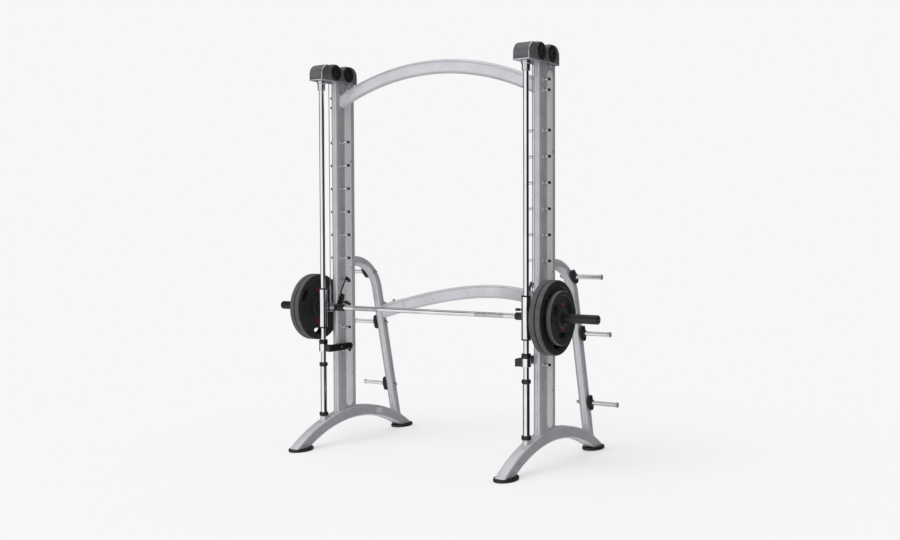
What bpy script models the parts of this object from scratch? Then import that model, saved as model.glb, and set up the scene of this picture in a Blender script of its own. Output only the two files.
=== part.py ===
"""A counterbalanced smith machine: two side frames with guide rods, a barbell on
linear bearings, hooks, safety stops, weight plates and storage horns.

Metres, +Z up. The front, with the barbell, faces -Y, and +X is to the right of
someone who looks at it from there. The origin is the middle of the footprint, on
the floor."""
import math

import bmesh
import bpy
from mathutils import Matrix, Vector

# Driving dimensions, in metres. Depths (Y) are measured back from the guide rods.
FRAME_X = 0.704            # side frame plane, from the machine's centre
ROD_Y = -0.2885            # guide rods' place in the footprint
GAP = 0.0003               # clearance between pieces that touch

ROD_R = 0.015
ROD_BOTTOM_Z = 0.141
ROD_TOP_Z = 2.175
ARCH_MID_Y = 0.285         # crest of the base arch
ARCH_CREST_Z = 0.166       # height of its centre line there
ARCH_BEND_R = 0.93
ARCH_HALF_W = 0.033
ARCH_HALF_H = 0.034
ARCH_CORNER_R = 0.024
TUBE_WALL = 0.003
FOOT_HEIGHT = 0.018
FOOT_HALF_X = 0.058
FOOT_HALF_Y = 0.090
FOOT_YS = (-0.206, 0.783)

FRONT_COLUMN_Y = 0.156
FRONT_COLUMN_HALF_X = 0.026
FRONT_COLUMN_HALF_Y = 0.050
REAR_COLUMN_Y = 0.263
REAR_COLUMN_R = 0.026
COLUMN_TOP_Z = 2.180
WEB_HALF_X = 0.020
WEB_TOP_Z = 2.165

PEG_PITCH = 0.140
PEG_COUNT = 10
PEG_TOP_Z = 1.824
PEG_R = 0.008
PEG_INNER = 0.0815         # tip of a peg, inward of the frame plane
PEG_OUTER = 0.060          # tip of a peg, outward of the frame plane

LEG_R = 0.031
LEG_TOP_Z = 1.1005
LEG_CORNER_Y = 0.484
LEG_FOOT_YZ = (0.725, 0.055)
LEG_BEND_R = 0.235

BAR_Y = 0.071
BAR_Z = 0.827
BAR_R = 0.014
BAR_HALF = 1.0745
SLEEVE_TIP_X = 1.0955
SLEEVE_R = 0.0245
BORE_CLEARANCE = 0.0008

CARRIAGE_R = 0.026
CARRIAGE_Z = (0.707, 0.945)

PULLEY_Z = 2.2225
PULLEY_YS = (0.098, 0.233)
PITCH_R = 0.030            # cable centre line on a pulley
CABLE_R = 0.0025
CABLE_Y = PULLEY_YS[0] - PITCH_R
FERRULE_TOP_Z = 0.965
WEIGHT_Z = (1.25, 2.0)
WEIGHT_R = 0.0205

STOP_Z = (0.5655, 0.637)
STOP_ARM_TOP_Z = 0.6075
STOP_RING_Z = 0.612

HORN_YZ = ((0.464, 1.028), (0.572, 0.701), (0.666, 0.291))
HORN_TIP_X = 0.917
HORN_DISC_R = 0.045
HORN_BOLT_R = 0.006
TOP_ARCH_STEPS = 10

# Plates, inner to outer: name, radius, face positions and grip-hole ring
PLATES = (
    ("inner_plate", 0.200, 0.790, 0.822, 0.145, 0.055, 0.020),
    ("middle_plate", 0.200, 0.825, 0.857, 0.145, 0.055, 0.020),
    ("outer_plate", 0.1455, 0.861, 0.889, 0.090, 0.038, 0.015),
)
GRIP_ANGLES = (30, 150, 270)

LEFT, RIGHT = -1, 1
SIDES = (("left", LEFT), ("right", RIGHT))

for stale in list(bpy.data.objects):
    bpy.data.objects.remove(stale)


def new_collection(name):
    group = bpy.data.collections.new(name)
    bpy.context.scene.collection.children.link(group)
    return group


PARTS = new_collection("smith_machine")
CUTTERS = new_collection("cutters")


def new_material(name, rgb, roughness, metallic):
    mat = bpy.data.materials.new(name)
    mat.use_nodes = True
    shader = mat.node_tree.nodes["Principled BSDF"]
    shader.inputs["Base Color"].default_value = (*rgb, 1)
    shader.inputs["Roughness"].default_value = roughness
    shader.inputs["Metallic"].default_value = metallic
    return mat


SILVER = new_material("silver_paint", (0.55, 0.56, 0.58), 0.38, 0.5)
CHROME = new_material("chrome", (0.85, 0.85, 0.86), 0.08, 1.0)
STEEL = new_material("turned_steel", (0.62, 0.62, 0.63), 0.28, 1.0)
BLACK = new_material("black_coating", (0.015, 0.015, 0.016), 0.42, 0.0)
RUBBER = new_material("black_rubber", (0.02, 0.02, 0.02), 0.75, 0.0)
GREY_PLASTIC = new_material("grey_plastic", (0.12, 0.12, 0.13), 0.45, 0.0)
PLATE_IRON = new_material("plate_iron", (0.045, 0.045, 0.047), 0.6, 0.0)
NYLON = new_material("pulley_nylon", (0.03, 0.03, 0.03), 0.5, 0.0)
CABLE_COAT = new_material("cable_coat", (0.35, 0.35, 0.36), 0.4, 0.3)
IRON = new_material("weight_iron", (0.1, 0.1, 0.1), 0.6, 0.8)


# Basic shapes -------------------------------------------------------------

def place(name, mesh, mat, at=(0, 0, 0), group=PARTS):
    obj = bpy.data.objects.new(name, mesh)
    obj.location = at
    if mat:
        mesh.materials.append(mat)
    if group is CUTTERS:
        obj.hide_render = True
        obj.display_type = "WIRE"
    group.objects.link(obj)
    mesh.shade_smooth()
    mesh.set_sharp_from_angle(angle=math.radians(35))
    return obj


def boolean(obj, tool, operation="DIFFERENCE"):
    mod = obj.modifiers.new(operation.lower(), "BOOLEAN")
    mod.operation = operation
    mod.solver = "EXACT"
    mod.object = tool


def box(name, low, high, mat=None, group=CUTTERS, at=(0, 0, 0)):
    """A block between two corners in world metres, with its origin at at."""
    low, high, at = Vector(low), Vector(high), Vector(at)
    size = Vector(abs(b - a) for a, b in zip(low, high))
    bm = bmesh.new()
    turn = Matrix.Translation((low + high) / 2 - at) @ Matrix.Diagonal((*size, 1))
    bmesh.ops.create_cube(bm, size=1, matrix=turn)
    mesh = bpy.data.meshes.new(name)
    bm.to_mesh(mesh)
    bm.free()
    return place(name, mesh, mat, at, group)


def rod(name, start, end, radius, mat=None, group=CUTTERS, sides=16, at=None):
    """A round bar from start to end, with its origin at at or at its middle."""
    start, end = Vector(start), Vector(end)
    along = end - start
    middle = (start + end) / 2
    at = middle if at is None else Vector(at)
    turn = along.to_track_quat("Z", "Y").to_matrix().to_4x4()
    bm = bmesh.new()
    bmesh.ops.create_cone(bm, cap_ends=True, segments=sides, radius1=radius,
                          radius2=radius, depth=along.length,
                          matrix=Matrix.Translation(middle - at) @ turn)
    mesh = bpy.data.meshes.new(name)
    bm.to_mesh(mesh)
    bm.free()
    return place(name, mesh, mat, at, group)


def turned(name, profile, mat, at, along="Z", steps=16, closed=False, group=PARTS):
    """A lathe shape: (radius, height) points from the top down the outer side.
    Heights run along +Z, or along +X or -X for a shape that lies down."""
    bm = bmesh.new()
    verts = [bm.verts.new((r, 0, h)) for r, h in profile]
    for a, b in zip(verts, verts[1:]):
        bm.edges.new((a, b))
    if closed:
        bm.edges.new((verts[-1], verts[0]))
    mesh = bpy.data.meshes.new(name)
    bm.to_mesh(mesh)
    bm.free()
    obj = place(name, mesh, mat, at, group)
    obj.rotation_euler = {"Z": (0, 0, 0), "+X": (0, math.pi / 2, 0),
                          "-X": (0, -math.pi / 2, 0)}[along]
    screw = obj.modifiers.new("turn", "SCREW")
    screw.steps = screw.render_steps = steps
    screw.use_merge_vertices = True
    screw.merge_threshold = 0.00005
    return obj


def outline(name, points, thickness, mat, at, plane="YZ", group=PARTS):
    """A flat shape cut from plate: points lie in the plane, round the origin at."""
    curve = bpy.data.curves.new(name, "CURVE")
    curve.dimensions = "2D"
    curve.fill_mode = "BOTH"
    curve.extrude = thickness / 2
    spline = curve.splines.new("POLY")
    spline.points.add(len(points) - 1)
    for point, (a, b) in zip(spline.points, points):
        point.co = (a, b, 0, 1)
    spline.use_cyclic_u = True
    turn = {"YZ": Matrix(((0, 0, 1), (1, 0, 0), (0, 1, 0))), "XY": Matrix.Identity(3)}
    return from_curve(name, curve, turn[plane].to_4x4(), mat, at, group)


def from_curve(name, curve, turn, mat, at, group=PARTS):
    """Makes a curve a welded mesh, turned in place, and removes the curve."""
    draft = bpy.data.objects.new(name + "_draft", curve)
    bpy.context.scene.collection.objects.link(draft)
    graph = bpy.context.evaluated_depsgraph_get()
    mesh = bpy.data.meshes.new_from_object(draft.evaluated_get(graph))
    bpy.data.objects.remove(draft)
    mesh.materials.clear()
    bm = bmesh.new()
    bm.from_mesh(mesh)
    bmesh.ops.remove_doubles(bm, verts=bm.verts, dist=0.00005)
    bmesh.ops.transform(bm, matrix=turn, verts=bm.verts)
    bmesh.ops.recalc_face_normals(bm, faces=bm.faces)
    bm.to_mesh(mesh)
    bm.free()
    return place(name, mesh, mat, at, group)


def rounded_section(half_w, half_h, corner, per_corner=3):
    """Corner-rounded rectangle, counter-clockwise."""
    points = []
    for quarter, (sx, sy) in enumerate(((1, 1), (-1, 1), (-1, -1), (1, -1))):
        for step in range(per_corner):
            angle = math.radians(90) * (quarter + step / (per_corner - 1))
            points.append((sx * (half_w - corner) + corner * math.cos(angle),
                           sy * (half_h - corner) + corner * math.sin(angle)))
    return points


def sweep(name, path, mat, section=None, radius=None, solid=False, group=PARTS,
          resolution=4):
    """A tube along path: open-ended for Solidify, or solid with its ends filled."""
    curve = bpy.data.curves.new(name, "CURVE")
    curve.dimensions = "3D"
    curve.twist_mode = "Z_UP"
    curve.use_fill_caps = True
    spline = curve.splines.new("POLY")
    spline.points.add(len(path) - 1)
    for point, co in zip(spline.points, path):
        point.co = (*co, 1)
    guide = None
    if section:
        outer = bpy.data.curves.new(name + "_section", "CURVE")
        outer.dimensions = "2D"
        loop = outer.splines.new("POLY")
        loop.points.add(len(section) - 1)
        for point, (a, b) in zip(loop.points, section):
            point.co = (a, b, 0, 1)
        loop.use_cyclic_u = True
        guide = bpy.data.objects.new(name + "_section", outer)
        CUTTERS.objects.link(guide)
        guide.hide_render = True
        curve.bevel_mode = "OBJECT"
        curve.bevel_object = guide
    else:
        curve.bevel_depth = radius
        curve.bevel_resolution = resolution
    obj = from_curve(name, curve, Matrix.Identity(4), mat, (0, 0, 0), group)
    if guide:
        bpy.data.objects.remove(guide)
    if not solid:
        open_end(obj.data, Vector(path[0]), Vector(path[1]))
        open_end(obj.data, Vector(path[-1]), Vector(path[-2]))
    return obj


def open_end(mesh, end, inward):
    """Deletes the faces that cap a tube at one end of its path."""
    along = (inward - end).normalized()
    bm = bmesh.new()
    bm.from_mesh(mesh)
    lid = [face for face in bm.faces
           if all(abs((vert.co - end).dot(along)) < 0.00002 for vert in face.verts)]
    bmesh.ops.delete(bm, geom=lid, context="FACES")
    bm.to_mesh(mesh)
    bm.free()


def hollow(obj, wall=TUBE_WALL):
    shell = obj.modifiers.new("wall", "SOLIDIFY")
    shell.thickness = wall
    shell.offset = -1
    shell.use_even_offset = True


def at_y(depth):
    """World Y of a depth measured back from the guide rods."""
    return ROD_Y + depth


# The base ------------------------------------------------------------------

def arch_path(side, steps=10):
    """Centre line of a base arch, run on below the floor at both ends."""
    reach = math.asin(0.60 / ARCH_BEND_R)
    points = []
    for step in range(steps + 1):
        angle = reach * (2 * step / steps - 1)
        points.append((side * FRAME_X,
                       at_y(ARCH_MID_Y + ARCH_BEND_R * math.sin(angle)),
                       ARCH_CREST_Z - ARCH_BEND_R * (1 - math.cos(angle))))
    return points


def arch_cutter(name, side):
    """The base arch's outside, a gap larger, to notch what stands on it."""
    section = rounded_section(ARCH_HALF_W + GAP, ARCH_HALF_H + GAP, ARCH_CORNER_R + GAP)
    return sweep(name, arch_path(side), None, section, solid=True, group=CUTTERS)


def base_arch(name, side):
    section = rounded_section(ARCH_HALF_W, ARCH_HALF_H, ARCH_CORNER_R)
    arch = sweep(name, arch_path(side), SILVER, section)
    hollow(arch)
    floor_cut = box(name + "_floor_cut", (side * 0.5, -1, -0.3),
                    (side * 0.9, 1, FOOT_HEIGHT + GAP))
    boolean(arch, floor_cut)
    x, y = side * FRAME_X, at_y(0)
    stub = rod(name + "_stub", (x, y, 0.118), (x, y, 0.178), 0.0215)
    boolean(arch, stub, "UNION")
    socket = rod(name + "_socket", (x, y, ROD_BOTTOM_Z - GAP), (x, y, 0.20),
                 ROD_R + BORE_CLEARANCE)
    boolean(arch, socket)
    return arch


def foot(name, side, depth):
    """An oval rubber pad with a rounded top edge."""
    bm = bmesh.new()
    turn = Matrix.Translation((0, 0, FOOT_HEIGHT / 2)) @ Matrix.Diagonal(
        (FOOT_HALF_X, FOOT_HALF_Y, 1, 1))
    bmesh.ops.create_cone(bm, cap_ends=True, segments=20, radius1=1, radius2=0.93,
                          depth=FOOT_HEIGHT, matrix=turn)
    mesh = bpy.data.meshes.new(name)
    bm.to_mesh(mesh)
    bm.free()
    return place(name, mesh, RUBBER, (side * FRAME_X, at_y(depth), 0))


# The uprights ----------------------------------------------------------------

def flat_oval(half_width, half_height, steps=6):
    """Two half rounds joined by flat sides, counter-clockwise."""
    points = []
    straight = half_height - half_width
    for end, first in ((1, 0), (-1, 180)):
        for step in range(steps + 1):
            angle = math.radians(first + 180 * step / steps)
            points.append((half_width * math.cos(angle),
                           end * straight + half_width * math.sin(angle)))
    return points


def peg_heights():
    return [PEG_TOP_Z - PEG_PITCH * level for level in range(PEG_COUNT)]


def front_column(name, side, arch_tool):
    x, y = side * FRAME_X, at_y(FRONT_COLUMN_Y)
    bm = bmesh.new()
    section = flat_oval(FRONT_COLUMN_HALF_X, FRONT_COLUMN_HALF_Y)
    low = [bm.verts.new((px, py, ARCH_CREST_Z)) for px, py in section]
    high = [bm.verts.new((px, py, COLUMN_TOP_Z)) for px, py in section]
    for index, vert in enumerate(low):
        after = (index + 1) % len(low)
        bm.faces.new((vert, low[after], high[after], high[index]))
    mesh = bpy.data.meshes.new(name)
    bm.to_mesh(mesh)
    bm.free()
    column = place(name, mesh, SILVER, (x, y, 0))
    hollow(column)
    for level, z in enumerate(peg_heights()):
        hole = rod(f"{name}_hole_{level}", (x - 0.05, y, z), (x + 0.05, y, z),
                   PEG_R + 0.0010, sides=8)
        boolean(column, hole)
    boolean(column, arch_tool)
    return column


def peg_rail(name, side):
    """An inner bar that carries the rack pegs through the column."""
    x, y = side * FRAME_X, at_y(FRONT_COLUMN_Y)
    top, bottom = peg_heights()[0], peg_heights()[-1]
    rail = box(name, (x - 0.009, y - 0.014, bottom - 0.03),
               (x + 0.009, y + 0.014, top + 0.03), STEEL, PARTS)
    for level, z in enumerate(peg_heights()):
        peg = rod(f"{name}_peg_{level}", (x - side * PEG_INNER, y, z),
                  (x + side * PEG_OUTER, y, z), PEG_R, sides=8)
        boolean(rail, peg, "UNION")
    return rail


def rear_column(name, side, arch_tool):
    """Round counterweight tube with the flat web that joins it to the front column."""
    x, y = side * FRAME_X, at_y(REAR_COLUMN_Y)
    column = rod(name, (x, y, ARCH_CREST_Z - 0.006), (x, y, COLUMN_TOP_Z),
                 REAR_COLUMN_R, SILVER, PARTS, sides=20)
    web = box(name + "_web", (x - WEB_HALF_X, at_y(0.196), ARCH_CREST_Z - 0.004),
              (x + WEB_HALF_X, y, WEB_TOP_Z))
    boolean(column, web, "UNION")
    bore = rod(name + "_bore", (x, y, 0.1), (x, y, 2.3), REAR_COLUMN_R - TUBE_WALL,
               sides=20)
    boolean(column, bore)
    front = rod(name + "_front", (x, at_y(0.180), 0.1), (x, at_y(0.180), 2.3),
                FRONT_COLUMN_HALF_X + 0.0006, sides=24)
    boolean(column, front)
    boolean(column, arch_tool)
    return column


def rear_leg(name, side, arch_tool):
    """Bent tube from the rear column down to the back of the base arch."""
    x = side * FRAME_X
    leg = sweep(name, leg_path(x), SILVER, radius=LEG_R, resolution=3)
    hollow(leg)
    tube = rod(name + "_column_cut", (x, at_y(REAR_COLUMN_Y), 0.9),
               (x, at_y(REAR_COLUMN_Y), 1.3), REAR_COLUMN_R + 0.0005, sides=20)
    boolean(leg, tube)
    boolean(leg, arch_tool)
    for number, (depth, z) in enumerate(HORN_YZ):
        hole = rod(f"{name}_hole_{number}", (x - 0.05, at_y(depth), z),
                   (x + 0.05, at_y(depth), z), HORN_BOLT_R + 0.001, sides=8)
        boolean(leg, hole)
    return leg


def leg_path(x, steps=6):
    """Level run, round bend and sloping run of a rear leg's centre line."""
    corner = Vector((LEG_CORNER_Y, LEG_TOP_Z))
    level = Vector((-1, 0))
    slope = (Vector(LEG_FOOT_YZ) - corner).normalized()
    half_turn = (math.pi - level.angle(slope)) / 2
    reach = LEG_BEND_R * math.tan(half_turn)
    first = corner + level * reach
    centre = first + Vector((0, -LEG_BEND_R))
    points = [Vector((REAR_COLUMN_Y + 0.008, LEG_TOP_Z)), first]
    for step in range(1, steps + 1):
        angle = 2 * half_turn * step / steps
        points.append(centre + LEG_BEND_R * Vector((math.sin(angle), math.cos(angle))))
    points.append(Vector(LEG_FOOT_YZ))
    return [(x, at_y(p[0]), p[1]) for p in points]


def guide_rod(name, side):
    x, y = side * FRAME_X, at_y(0)
    return rod(name, (x, y, ROD_BOTTOM_Z), (x, y, ROD_TOP_Z), ROD_R, CHROME, PARTS)


def stop_tube(name, side):
    """Chrome sleeve round the foot of the rod, with a flanged lower end."""
    bore = ROD_R + BORE_CLEARANCE
    profile = [(bore, 0.4755), (0.0185, 0.4755), (0.0185, 0.200), (0.027, 0.200),
               (0.027, 0.1785), (bore, 0.1785)]
    return turned(name, profile, CHROME, (side * FRAME_X, at_y(0), 0), closed=True)


def bumper(name, side):
    """Rubber ring on top of the stop tube."""
    profile = [(ROD_R + BORE_CLEARANCE, 0.500), (0.025, 0.500), (0.025, 0.476),
               (ROD_R + BORE_CLEARANCE, 0.476)]
    return turned(name, profile, RUBBER, (side * FRAME_X, at_y(0), 0), closed=True)


# The head: bracket, pulleys and cap -------------------------------------------

def head_bracket(name, side):
    """Top plate with pulley cheeks, two axles and the collar that holds the rod."""
    x = side * FRAME_X
    plate_z = COLUMN_TOP_Z + GAP
    bracket = box(name, (x - 0.0455, at_y(-0.046), plate_z),
                  (x + 0.0455, at_y(0.271), plate_z + 0.006), STEEL, PARTS)
    for number, sign in enumerate((-1, 1)):
        cheek = box(f"{name}_cheek_{number}", (x + sign * 0.011, at_y(0.078), plate_z + 0.001),
                    (x + sign * 0.015, at_y(0.252), PULLEY_Z + 0.014))
        boolean(bracket, cheek, "UNION")
    for number, depth in enumerate(PULLEY_YS):
        axle = rod(f"{name}_axle_{number}", (x - 0.019, at_y(depth), PULLEY_Z),
                   (x + 0.019, at_y(depth), PULLEY_Z), 0.006, sides=10)
        boolean(bracket, axle, "UNION")
    collar = turned(name + "_collar", [(0, plate_z + 0.001), (0.026, plate_z + 0.001),
                                       (0.026, 2.165), (0.0225, 2.160),
                                       (0.0225, 2.1253), (0, 2.1253)],
                    None, (x, at_y(0), 0), group=CUTTERS)
    boolean(bracket, collar, "UNION")
    socket = rod(name + "_socket", (x, at_y(0), 2.1), (x, at_y(0), ROD_TOP_Z + GAP),
                 ROD_R + BORE_CLEARANCE)
    boolean(bracket, socket)
    for number, depth in enumerate((CABLE_Y, PULLEY_YS[1] + PITCH_R)):
        hole = rod(f"{name}_cable_hole_{number}", (x, at_y(depth), 2.17),
                   (x, at_y(depth), 2.20), 0.0055, sides=10)
        boolean(bracket, hole)
    return bracket


def cap_outline():
    """Side view of the cap in (depth, height), counter-clockwise from the rear foot:
    a round nose over the rod and a lobe over each cover disc."""
    points = [(0.278, COLUMN_TOP_Z), (0.278, 2.222)]
    points += [(0.222 + 0.056 * math.cos(a), 2.229 + 0.050 * math.sin(a))
               for a in (math.radians(20 + 20 * step) for step in range(4))]
    points += [(0.205, 2.283), (0.175, 2.283), (0.150, 2.266), (0.130, 2.263),
               (0.110, 2.266), (0.088, 2.283), (0.055, 2.283), (0.010, 2.275)]
    points += [(0.007 - 0.060 * math.sin(a), 2.218 + 0.057 * math.cos(a))
               for a in (math.radians(22 * step) for step in range(1, 5))]
    points += [(-0.053, COLUMN_TOP_Z)]
    return points


def cap(name, side):
    """Plastic cover over the pulleys: a hollow shell, open underneath."""
    x = side * FRAME_X
    shell = outline(name, cap_outline(), 0.100, GREY_PLASTIC, (x, at_y(0), 0))
    inner = outline(name + "_inside", inset_outline(cap_outline(), 0.0035), 0.0925, None,
                    (x, at_y(0), 0), group=CUTTERS)
    boolean(shell, inner)
    return shell


def inset_outline(points, wall):
    """The outline moved in by the wall, with its foot dropped through the opening."""
    count = len(points)
    moved = []
    for index in range(count):
        before = Vector(points[index - 1])
        here = Vector(points[index])
        after = Vector(points[(index + 1) % count])
        first = (here - before).normalized()
        second = (after - here).normalized()
        normal = Vector((-(first + second)[1], (first + second)[0])).normalized()
        moved.append(here + normal * wall / max(0.5, normal.dot(Vector((-first[1], first[0])))))
    foot_z = COLUMN_TOP_Z - 0.02
    moved[0] = Vector((moved[1][0], foot_z))
    moved[-1] = Vector((moved[-2][0], foot_z))
    return [tuple(p) for p in moved]


def pulley(name, side, depth):
    bore = 0.0068
    rim, floor = PITCH_R + 0.0055, PITCH_R - 0.0035
    profile = [(bore, 0.0065), (rim, 0.0065), (rim, 0.0042), (floor, 0.0029),
               (floor, -0.0029), (rim, -0.0042), (rim, -0.0065), (bore, -0.0065)]
    return turned(name, profile, NYLON, (side * FRAME_X, at_y(depth), PULLEY_Z),
                  "+X", steps=12, closed=True)


def cable(name, side):
    """Counterbalance cable: carriage, over both pulleys, down to the weight."""
    points = [(CABLE_Y, FERRULE_TOP_Z + GAP), (CABLE_Y, PULLEY_Z)]
    points += [(PULLEY_YS[0] - PITCH_R * math.cos(a), PULLEY_Z + PITCH_R * math.sin(a))
               for a in (math.radians(15 * step) for step in range(1, 7))]
    points += [(PULLEY_YS[1] + PITCH_R * math.sin(a), PULLEY_Z + PITCH_R * math.cos(a))
               for a in (math.radians(15 * step) for step in range(7))]
    points += [(PULLEY_YS[1] + PITCH_R, WEIGHT_Z[1] + GAP)]
    path = [(side * FRAME_X, at_y(depth), z) for depth, z in points]
    return sweep(name, path, CABLE_COAT, radius=CABLE_R, solid=True, resolution=2)


def counterweight(name, side):
    low, high = WEIGHT_Z
    profile = [(0, high), (0.015, high), (WEIGHT_R, high - 0.006), (WEIGHT_R, low + 0.006),
               (0.015, low), (0, low)]
    return turned(name, profile, IRON, (side * FRAME_X, at_y(REAR_COLUMN_Y), 0), steps=16)


# Cross members -----------------------------------------------------------------

def top_arch():
    """Flat-oval beam bowed upward between the front columns."""
    half, rise, crest = FRAME_X - FRONT_COLUMN_HALF_X - GAP, 0.155, 2.2205
    bend = (half ** 2 + rise ** 2) / (2 * rise)
    path = []
    for step in range(TOP_ARCH_STEPS + 1):
        x = half * (2 * step / TOP_ARCH_STEPS - 1)
        path.append((x, at_y(0.150), crest - bend + math.sqrt(bend ** 2 - x ** 2)))
    # the ends run on into the columns and are then trimmed square
    beam = sweep("top_arch", stretched(path, 0.03), SILVER, flat_oval(0.020, 0.040, 4))
    hollow(beam)
    for number, side in enumerate((LEFT, RIGHT)):
        end = box(f"top_arch_end_{number}", (side * half, -1, 1.5), (side * 1.2, 1, 2.6))
        boolean(beam, end)
    return beam


def stretched(path, extra):
    """The path with both of its ends run on in a straight line."""
    first, second = Vector(path[0]), Vector(path[1])
    last, before = Vector(path[-1]), Vector(path[-2])
    return ([tuple(first + (first - second).normalized() * extra)] + path[1:-1]
            + [tuple(last + (last - before).normalized() * extra)])


def rear_crossmember():
    """Flat-oval beam bowed up and back between the rear legs."""
    half, steps = 0.67, 10
    path = []
    for step in range(steps + 1):
        x = half * (2 * step / steps - 1)
        bow = 1 - (x / half) ** 2
        path.append((x, at_y(0.556 + 0.250 * bow), 0.774 + 0.131 * bow))
    beam = sweep("rear_crossmember", stretched(path, 0.03), SILVER,
                 flat_oval(0.020, 0.041, 4))
    hollow(beam)
    for number, side in enumerate((LEFT, RIGHT)):
        tool = sweep(f"rear_crossmember_end_{number}", leg_path(side * FRAME_X), None,
                     radius=LEG_R + 0.0006, solid=True, group=CUTTERS, resolution=3)
        boolean(beam, tool)
        outer = box(f"rear_crossmember_trim_{number}", (side * FRAME_X, -1, 0.4),
                    (side * 1.2, 1, 1.4))
        boolean(beam, outer)
    return beam


def storage_horn(name, side, depth, z, leg_tool):
    """Plate storage horn: nut, bolt through the leg, tube, end flange, and a rubber
    disc whose back is hollowed to sit round the leg."""
    leg_in, leg_out = FRAME_X - LEG_R - GAP, FRAME_X + LEG_R + GAP
    profile = [(0, HORN_TIP_X), (0.0155, HORN_TIP_X), (0.0155, HORN_TIP_X - 0.008),
               (0.0125, HORN_TIP_X - 0.008), (0.0125, leg_out + 0.016),
               (HORN_DISC_R, leg_out + 0.016), (HORN_DISC_R, FRAME_X + 0.012),
               (0.004, FRAME_X + 0.012), (0.004, leg_in), (0.011, leg_in),
               (0.011, 0.654), (0, 0.654)]
    horn = turned(name, profile, CHROME, (0, at_y(depth), z), "+X" if side > 0 else "-X",
                  steps=14)
    boolean(horn, leg_tool)
    bolt = rod(name + "_bolt", (side * (leg_in - 0.002), at_y(depth), z),
               (side * (leg_out + 0.004), at_y(depth), z), HORN_BOLT_R, sides=8)
    boolean(horn, bolt, "UNION")
    return horn


# Moving pieces -------------------------------------------------------------------

def carriage(name, side):
    """Linear bearing housing on the rod, with the bar's bearing and the cable ferrule."""
    x = side * FRAME_X
    low, high = CARRIAGE_Z
    body = rod(name, (x, at_y(0), low), (x, at_y(0), high), CARRIAGE_R, CHROME, PARTS,
               sides=16)
    block = box(name + "_block", (x - 0.017, at_y(0.005), 0.799),
                (x + 0.017, at_y(BAR_Y), 0.855))
    eye = rod(name + "_eye", (x - 0.019, at_y(BAR_Y), BAR_Z), (x + 0.019, at_y(BAR_Y), BAR_Z),
              0.026)
    ferrule = rod(name + "_ferrule", (x, at_y(CABLE_Y), 0.845),
                  (x, at_y(CABLE_Y), FERRULE_TOP_Z), 0.007, sides=10)
    for tool in (block, eye, ferrule):
        boolean(body, tool, "UNION")
    rod_bore = rod(name + "_rod_bore", (x, at_y(0), low - 0.02), (x, at_y(0), high + 0.03),
                   ROD_R + 0.0010, sides=14)
    bar_bore = rod(name + "_bar_bore", (x - 0.1, at_y(BAR_Y), BAR_Z),
                   (x + 0.1, at_y(BAR_Y), BAR_Z), BAR_R + BORE_CLEARANCE)
    for tool in (rod_bore, bar_bore):
        boolean(body, tool)
    return body


def bar():
    return rod("bar", (-BAR_HALF, at_y(BAR_Y), BAR_Z), (BAR_HALF, at_y(BAR_Y), BAR_Z),
               BAR_R, CHROME, PARTS)


def sleeve(name, side):
    """Plate sleeve that turns on the bar's end, with its inner shoulder."""
    bore = BAR_R + BORE_CLEARANCE
    tip = SLEEVE_TIP_X
    profile = [(0, tip), (0.019, tip), (SLEEVE_R, tip - 0.008), (SLEEVE_R, 0.7895),
               (0.036, 0.7895), (0.036, 0.778), (0.021, 0.772), (0.021, 0.745),
               (bore, 0.745), (bore, BAR_HALF + 0.0007), (0, BAR_HALF + 0.0007)]
    return turned(name, profile, BLACK, (0, at_y(BAR_Y), BAR_Z),
                  "+X" if side > 0 else "-X", steps=20)


def peg_direction():
    """Unit vector from the bar to the peg that its hook rests on, and its length."""
    level = round((PEG_TOP_Z - BAR_Z - 0.157) / PEG_PITCH)
    to_peg = Vector((FRONT_COLUMN_Y - BAR_Y, peg_heights()[level] - BAR_Z))
    return to_peg.normalized(), to_peg.length


def radial_points(points):
    """Turns (out, forward) pairs, measured along and across the line from the bar to
    the peg, into (depth, height) pairs round the bar."""
    out, _ = peg_direction()
    forward = Vector((-out[1], out[0]))
    return [tuple(out * a + forward * b) for a, b in points]


def hook(name, side):
    """Plate that stands up from its hub, widens above the hub's block and curls over a
    rack peg. Its seat is an arc round the bar, so turning the bar slides it off the peg."""
    _, reach = peg_direction()
    seat = reach + PEG_R + 0.0006
    crown = seat + 0.014
    back, front = 0.0092, 0.0172

    def arc(radius, start, end, steps):
        angles = [start + (end - start) * step / steps for step in range(steps + 1)]
        return [(radius * math.cos(a), radius * math.sin(a)) for a in angles]

    tip = -math.radians(4.8)
    points = [(0.030, front)]
    points += arc(crown, math.asin(front / crown), tip, 5)
    points += arc(seat, tip, math.asin(back / seat), 5)
    points += [(0.158, back), (0.146, -0.006), (0.0885, -0.013), (0.0885, back), (0.030, back)]
    x = side * (FRAME_X - 0.056)
    return outline(name, radial_points(points)[::-1], 0.012, CHROME, (x, at_y(BAR_Y), BAR_Z))


def hook_hub(name, side):
    """Clamp on the bar with the block that the hook strap is fixed to, and a finger knob."""
    x = side * FRAME_X
    inner, outer = x - side * 0.104, x - side * 0.041
    at = (x - side * 0.056, at_y(BAR_Y), BAR_Z)
    hub = rod(name, (inner, at[1], at[2]), (outer, at[1], at[2]), 0.021, BLACK, PARTS, at=at)
    block = outline(name + "_block", radial_points(
        [(0.0, -0.014), (0.088, -0.014), (0.088, 0.0089), (0.0, 0.0089)]),
        0.026, None, at, group=CUTTERS)
    boolean(hub, block, "UNION")
    grip_y, grip_z = radial_points([(0.040, -0.003)])[0]
    knob = rod(name + "_knob", (x - side * 0.119, at[1] + grip_y, at[2] + grip_z),
               (x - side * 0.060, at[1] + grip_y, at[2] + grip_z), 0.008, sides=10)
    boolean(hub, knob, "UNION")
    bore = rod(name + "_bore", (inner - 0.1, at[1], at[2]), (outer + 0.1, at[1], at[2]),
               BAR_R + BORE_CLEARANCE)
    boolean(hub, bore)
    return hub


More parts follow.
